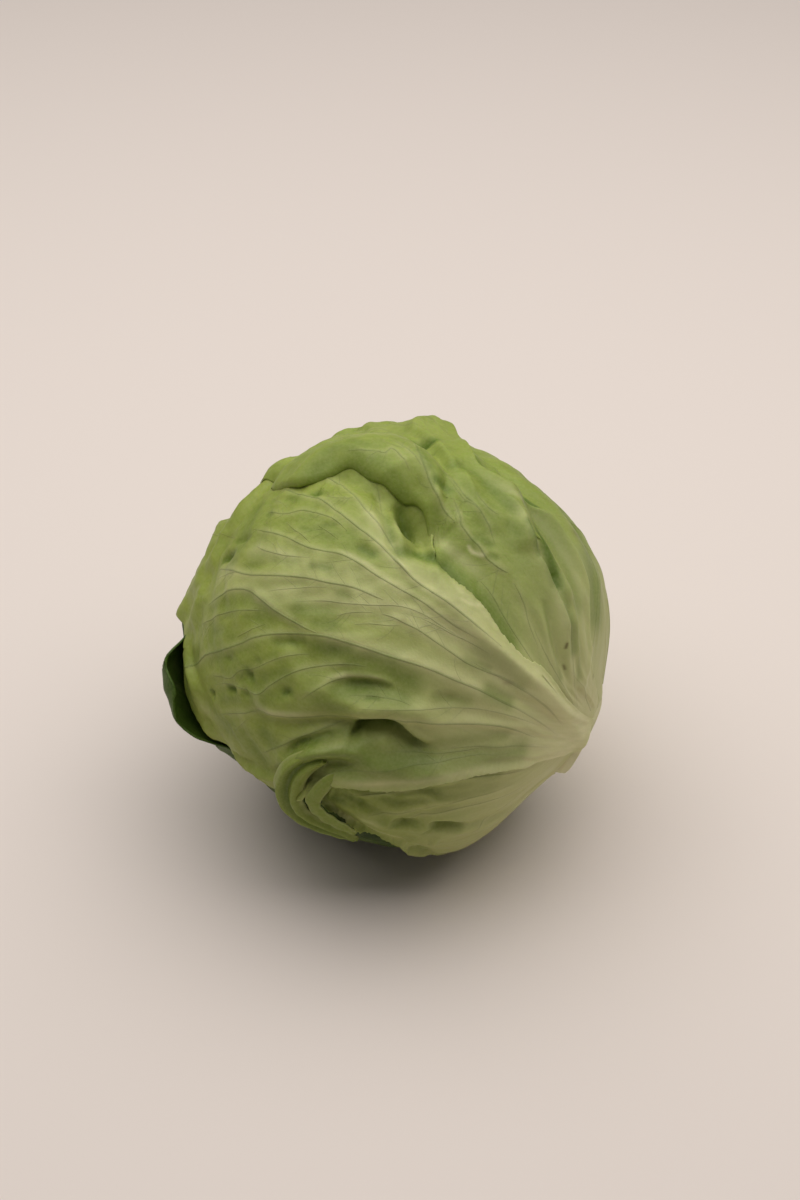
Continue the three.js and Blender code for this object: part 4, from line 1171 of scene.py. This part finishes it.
# Painted shade in the hollows, dimples, the slot under the arched fold and the gaps by the free
# edge, over a deeper green in the dimples.
FRONT_SHADE_AND_DEEP_GREEN = [
    even(0.7, 6.5, 300, 762, 330, 755, 365, 757, 400, 764, 425, 762),
    even(0.5, 4.5, 340, 768, 380, 768, 430, 762, 480, 756, 520, 750),
    even(0.55, 4.6, 356, 664, 384, 668, 410, 684),
    even(0.6, 3.6, 338, 692, 370, 692, 402, 698),
    even(0.35, 5.0, 206, 600, 236, 604, 266, 606),
    even(0.35, 6.0, 206, 640, 232, 668, 258, 700),
    even(0.4, 5.0, 212, 720, 240, 742, 262, 764),
    even(0.35, 5.0, 248, 500, 236, 530, 224, 556),
    even(0.3, 4.0, 300, 515, 330, 530, 362, 548),
    (0.95, 1.9, 212, 554, 224, 549),
    (0.5, 2.0, 228, 534, 242, 532),
    (0.3, 3.8, 246, 560, 264, 551),
    (0.3, 1.8, 270, 558, 290, 560),
    (0.6, 1.7, 310, 564, 328, 566),
    (0.4, 3.2, 226, 600, 240, 603),
    (0.35, 2.2, 240, 615, 262, 617),
    (0.4, 3.4, 206, 630, 226, 635),
    (0.5, 1.5, 222, 658, 228, 661),
    (0.75, 1.8, 243, 672, 248, 681),
    (0.95, 1.4, 225, 690, 231, 692),
    (0.4, 2.4, 217, 701, 233, 698),
    (0.8, 1.0, 206, 693, 209, 698),
    (0.6, 1.4, 240, 694, 247, 696),
    (0.85, 1.5, 281, 695, 287, 693),
    (0.35, 2.2, 262, 698, 275, 697),
    (0.45, 1.3, 254, 660, 258, 662),
    (0.35, 1.6, 262, 658, 272, 654),
    (0.45, 1.9, 272, 642, 300, 641),
    (0.5, 1.2, 282, 643, 292, 643),
    (0.6, 3.3, 314, 648, 346, 652),
    (0.45, 3.0, 295, 607, 324, 612),
    (0.45, 2.4, 314, 622, 330, 624),
    (0.35, 1.6, 340, 592, 348, 597),
    (0.35, 2.8, 262, 681, 284, 673),
    (0.35, 4.0, 318, 701, 342, 707),
    (0.55, 2.8, 348, 661, 392, 663),
    (0.45, 2.0, 360, 666, 384, 667),
    even(0.6, 2.8, 334, 690, 360, 686, 388, 687),
    (0.35, 3.0, 328, 702, 352, 696),
    (0.8, 0.9, 366, 699, 380, 699),
    (0.5, 1.8, 400, 675, 413, 680),
    (0.3, 2.3, 438, 697, 468, 702),
    (0.5, 3.8, 260, 736, 272, 746),
    (0.35, 2.0, 280, 760, 287, 764),
    (0.35, 2.4, 234, 739, 246, 736),
    (0.5, 3.0, 318, 760, 346, 764),
    (0.35, 2.8, 364, 758, 396, 766),
    even(0.8, 2.0, 356, 730, 375, 726, 398, 730),
    (0.5, 2.0, 402, 736, 424, 747),
    (0.7, 1.6, 298, 748, 316, 744),
    (0.4, 2.0, 322, 741, 348, 738),
    even(0.35, 3.2, 440, 745, 480, 742, 505, 738),
    (0.35, 2.2, 468, 662, 490, 668),
    even(0.3, 3.0, 480, 650, 505, 668, 520, 684),
    (0.5, 2.6, 490, 692, 510, 703),
    (0.85, 1.8, 309, 484, 315, 487),
    (0.45, 2.8, 284, 489, 292, 493),
    (0.9, 2.1, 360, 546, 372, 552),
    (0.5, 2.0, 300, 524, 306, 527),
    (0.5, 1.7, 322, 521, 332, 521),
    (0.35, 1.5, 334, 530, 341, 533),
    (0.5, 1.9, 386, 506, 392, 534),
    (0.5, 1.3, 262, 506, 267, 508),
    even(0.7, 3.0, 402, 490, 408, 506, 414, 520),
    even(0.85, 2.8, 400, 548, 425, 546, 450, 561),
    (0.35, 3.0, 190, 655, 184, 668),
]
# Pale midrib and vein tissue, and painted highlight on the ridges, the free rim and the torn edge.
FRONT_PALE_AND_HIGHLIGHT = [
    even(0.38, 6.0, 262, 590, 310, 592, 360, 600, 410, 612, 460, 636, 510, 672),
    even(0.34, 4.5, 250, 546, 300, 560, 350, 572, 400, 590),
    even(0.3, 4.0, 372, 510, 396, 556, 440, 590, 480, 620),
    even(0.26, 5.0, 215, 570, 240, 580, 262, 588),
    even(0.25, 4.0, 330, 642, 380, 648, 430, 664, 480, 682),
    (0.5, 1.4, 444, 610, 470, 630, 500, 652, 530, 676, 556, 706, 578, 736),
    (0.45, 1.0, 332, 548, 350, 554, 370, 565, 392, 578),
    (0.4, 1.0, 243, 578, 252, 590, 268, 603, 290, 619),
    (0.5, 0.9, 318, 682, 340, 677, 356, 677, 374, 679, 392, 684),
    (0.5, 1.2, 253, 688, 256, 705, 266, 713, 290, 717, 330, 716),
    (0.5, 1.4, 330, 774, 360, 779, 390, 780, 415, 777, 445, 771, 480, 767, 520, 762),
    (0.35, 1.0, 310, 748, 335, 744, 356, 743),
    even(0.7, 1.0, 462, 600, 472, 604, 486, 605),
    (0.4, 1.4, 448, 572, 460, 590, 474, 602, 490, 618, 508, 642),
    (0.5, 0.9, 393, 548, 402, 563, 414, 579),
    (0.4, 1.2, 394, 498, 398, 515, 404, 532),
    (0.3, 2.0, 300, 575, 330, 577, 352, 580),
    (0.3, 2.4, 188, 690, 205, 715, 232, 740),
    (0.3, 1.8, 440, 720, 470, 717, 490, 719),
    (0.6, 0.6, 409, 618, 412, 617),
]
FRONT_SPOTS = [
    (0.25, 1.0, 400, 621, 404, 621),
    (0.25, 0.8, 507, 683, 512, 684),
]
piece = make_leaf(
    front_leaf, 248, 156, ((0.09, 0.15, 0.008, 1), (0.305, 0.36, 0.062, 1), PALE_FLESH),
    relief=marks(FRONT_RELIEF), veins=marks(FRONT_VEINS), dark=marks(FRONT_SHADE_AND_DEEP_GREEN),
    pale_and_highlight=marks(FRONT_PALE_AND_HIGHLIGHT), brown=marks(FRONT_SPOTS), twigs=260,
    veins_grow=lambda n: 1 - smooth(n @ view_back, -0.15, 0.12))


# The end of the front leaf is ruffled: at the lower left its margin is folded over into
# two curled ribbons, one outside the other, that lie on the leaves below.
def add_ribbon(leaf_piece, name, spine, rows, columns, pleat):
    """A curled strip of the blade along pixels, with a radius and a half width at each."""
    spine = np.array(spine, dtype=float)
    points = np.array([seen(stop[None, :2], stop[2])[0] * stop[2] for stop in spine])
    points, half = smooth_path(points, spine[:, 3])
    strip, across, run = new_grid(name, columns, rows)
    side, run = 2.0 * across - 1.0, run * (len(points) - 1)
    stops = np.arange(len(points))

    def spine_at(spot):
        return np.stack([np.interp(spot, stops, points[:, k]) for k in range(3)], axis=1)

    middle = spine_at(run)
    tangent = spine_at(run + 0.3) - spine_at(run - 0.3)
    tangent /= np.linalg.norm(tangent, axis=1)[:, None]
    outward = middle / np.linalg.norm(middle, axis=1)[:, None]
    right = np.cross(tangent, outward)
    right /= np.linalg.norm(right, axis=1)[:, None]
    width = np.interp(run, stops, half)
    ruffle = 0.25 * np.sin(run * 1.9 + 2.0 * side) * np.abs(side)
    lift = 0.8 * (1.0 - side ** 2) - pleat * np.cos(2.0 * np.pi * side) * (width / 5.0) + ruffle
    shape = middle + right * (side * width)[:, None] + outward * lift[:, None]
    set_points(strip, shape)
    lay_flat(strip, np.stack([run * 2.0, side * 4.0], axis=1) / 100.0)
    # Painted shade on the ribbons, darkest along the crease of a pleated one, and painted highlight
    # along both rims.
    add_value(strip, "dark", 0.6 * np.exp(-(side / 0.22) ** 2) * (pleat > 0) + 0.35)
    add_value(strip, "vein", 0.5 * np.exp(-((side - 0.3) / 0.08) ** 2))
    add_value(strip, "pale_and_highlight", 0.35 * smooth(np.abs(side), 0.75, 1.0))
    give_thickness(strip, -1.0)
    strip.data.materials.append(leaf_piece.data.materials[0])
    join_to(leaf_piece, [strip])


add_ribbon(piece, "outer_ribbon", [
    (322, 757, 76.0, 3.4), (306, 763, 77.4, 4.4), (293, 773, 78.0, 5.2),
    (287, 787, 78.2, 5.8), (288, 801, 78.2, 5.6), (297, 813, 78.0, 5.0),
    (311, 822, 77.6, 4.4), (328, 829, 77.0, 3.8), (345, 835, 76.2, 2.8),
    (356, 839, 75.2, 1.4)], 84, 16, 1.2)
add_ribbon(piece, "inner_ribbon", [
    (340, 776, 76.0, 1.8), (330, 780, 77.6, 2.2), (320, 790, 78.2, 2.6),
    (313, 799, 78.6, 2.8), (315, 808, 79.0, 2.6), (323, 816, 79.2, 2.7),
    (334, 823, 79.0, 2.6), (346, 829, 78.4, 2.1), (354, 833, 77.0, 1.2)], 70, 12, 0.0)
settle(piece, front_leaf)

# Floor: a plain pale studio surface that the head lies on.
bpy.ops.object.select_all(action="DESELECT")
bpy.ops.mesh.primitive_plane_add(size=8.0, location=(0.0, 1.0, 0.0))
floor = bpy.context.object
floor.name = "floor"
floor_material = bpy.data.materials.new("floor")
floor_material.use_nodes = True
floor_shader = floor_material.node_tree.nodes["Principled BSDF"]
floor_shader.inputs["Base Color"].default_value = (0.80, 0.715, 0.665, 1)
floor_shader.inputs["Roughness"].default_value = 0.9
floor_shader.inputs["Specular IOR Level"].default_value = 0.1
floor.data.materials.append(floor_material)

# Light: a big soft panel overhead, a little behind the head, and an even pale room.
world = bpy.data.worlds.new("room")
world.use_nodes = True
world.node_tree.nodes["Background"].inputs["Color"].default_value = (1.0, 0.97, 0.94, 1)
world.node_tree.nodes["Background"].inputs["Strength"].default_value = 0.12
bpy.context.scene.world = world
bpy.context.scene.view_settings.view_transform = "Standard"
panel_data = bpy.data.lights.new("panel", "AREA")
panel_data.shape = "RECTANGLE"
panel_data.size, panel_data.size_y = 1.8, 1.3
panel_data.energy = 13.4
panel_data.color = (1.0, 0.98, 0.95)
panel = bpy.data.objects.new("panel", panel_data)
panel.location = (-0.02, 0.17, 0.88)
panel.rotation_mode = "QUATERNION"
panel_aim = Vector((0.0, 0.06, 0.0)) - panel.location
panel.rotation_quaternion = panel_aim.to_track_quat("-Z", "Y")
bpy.context.scene.collection.objects.link(panel)
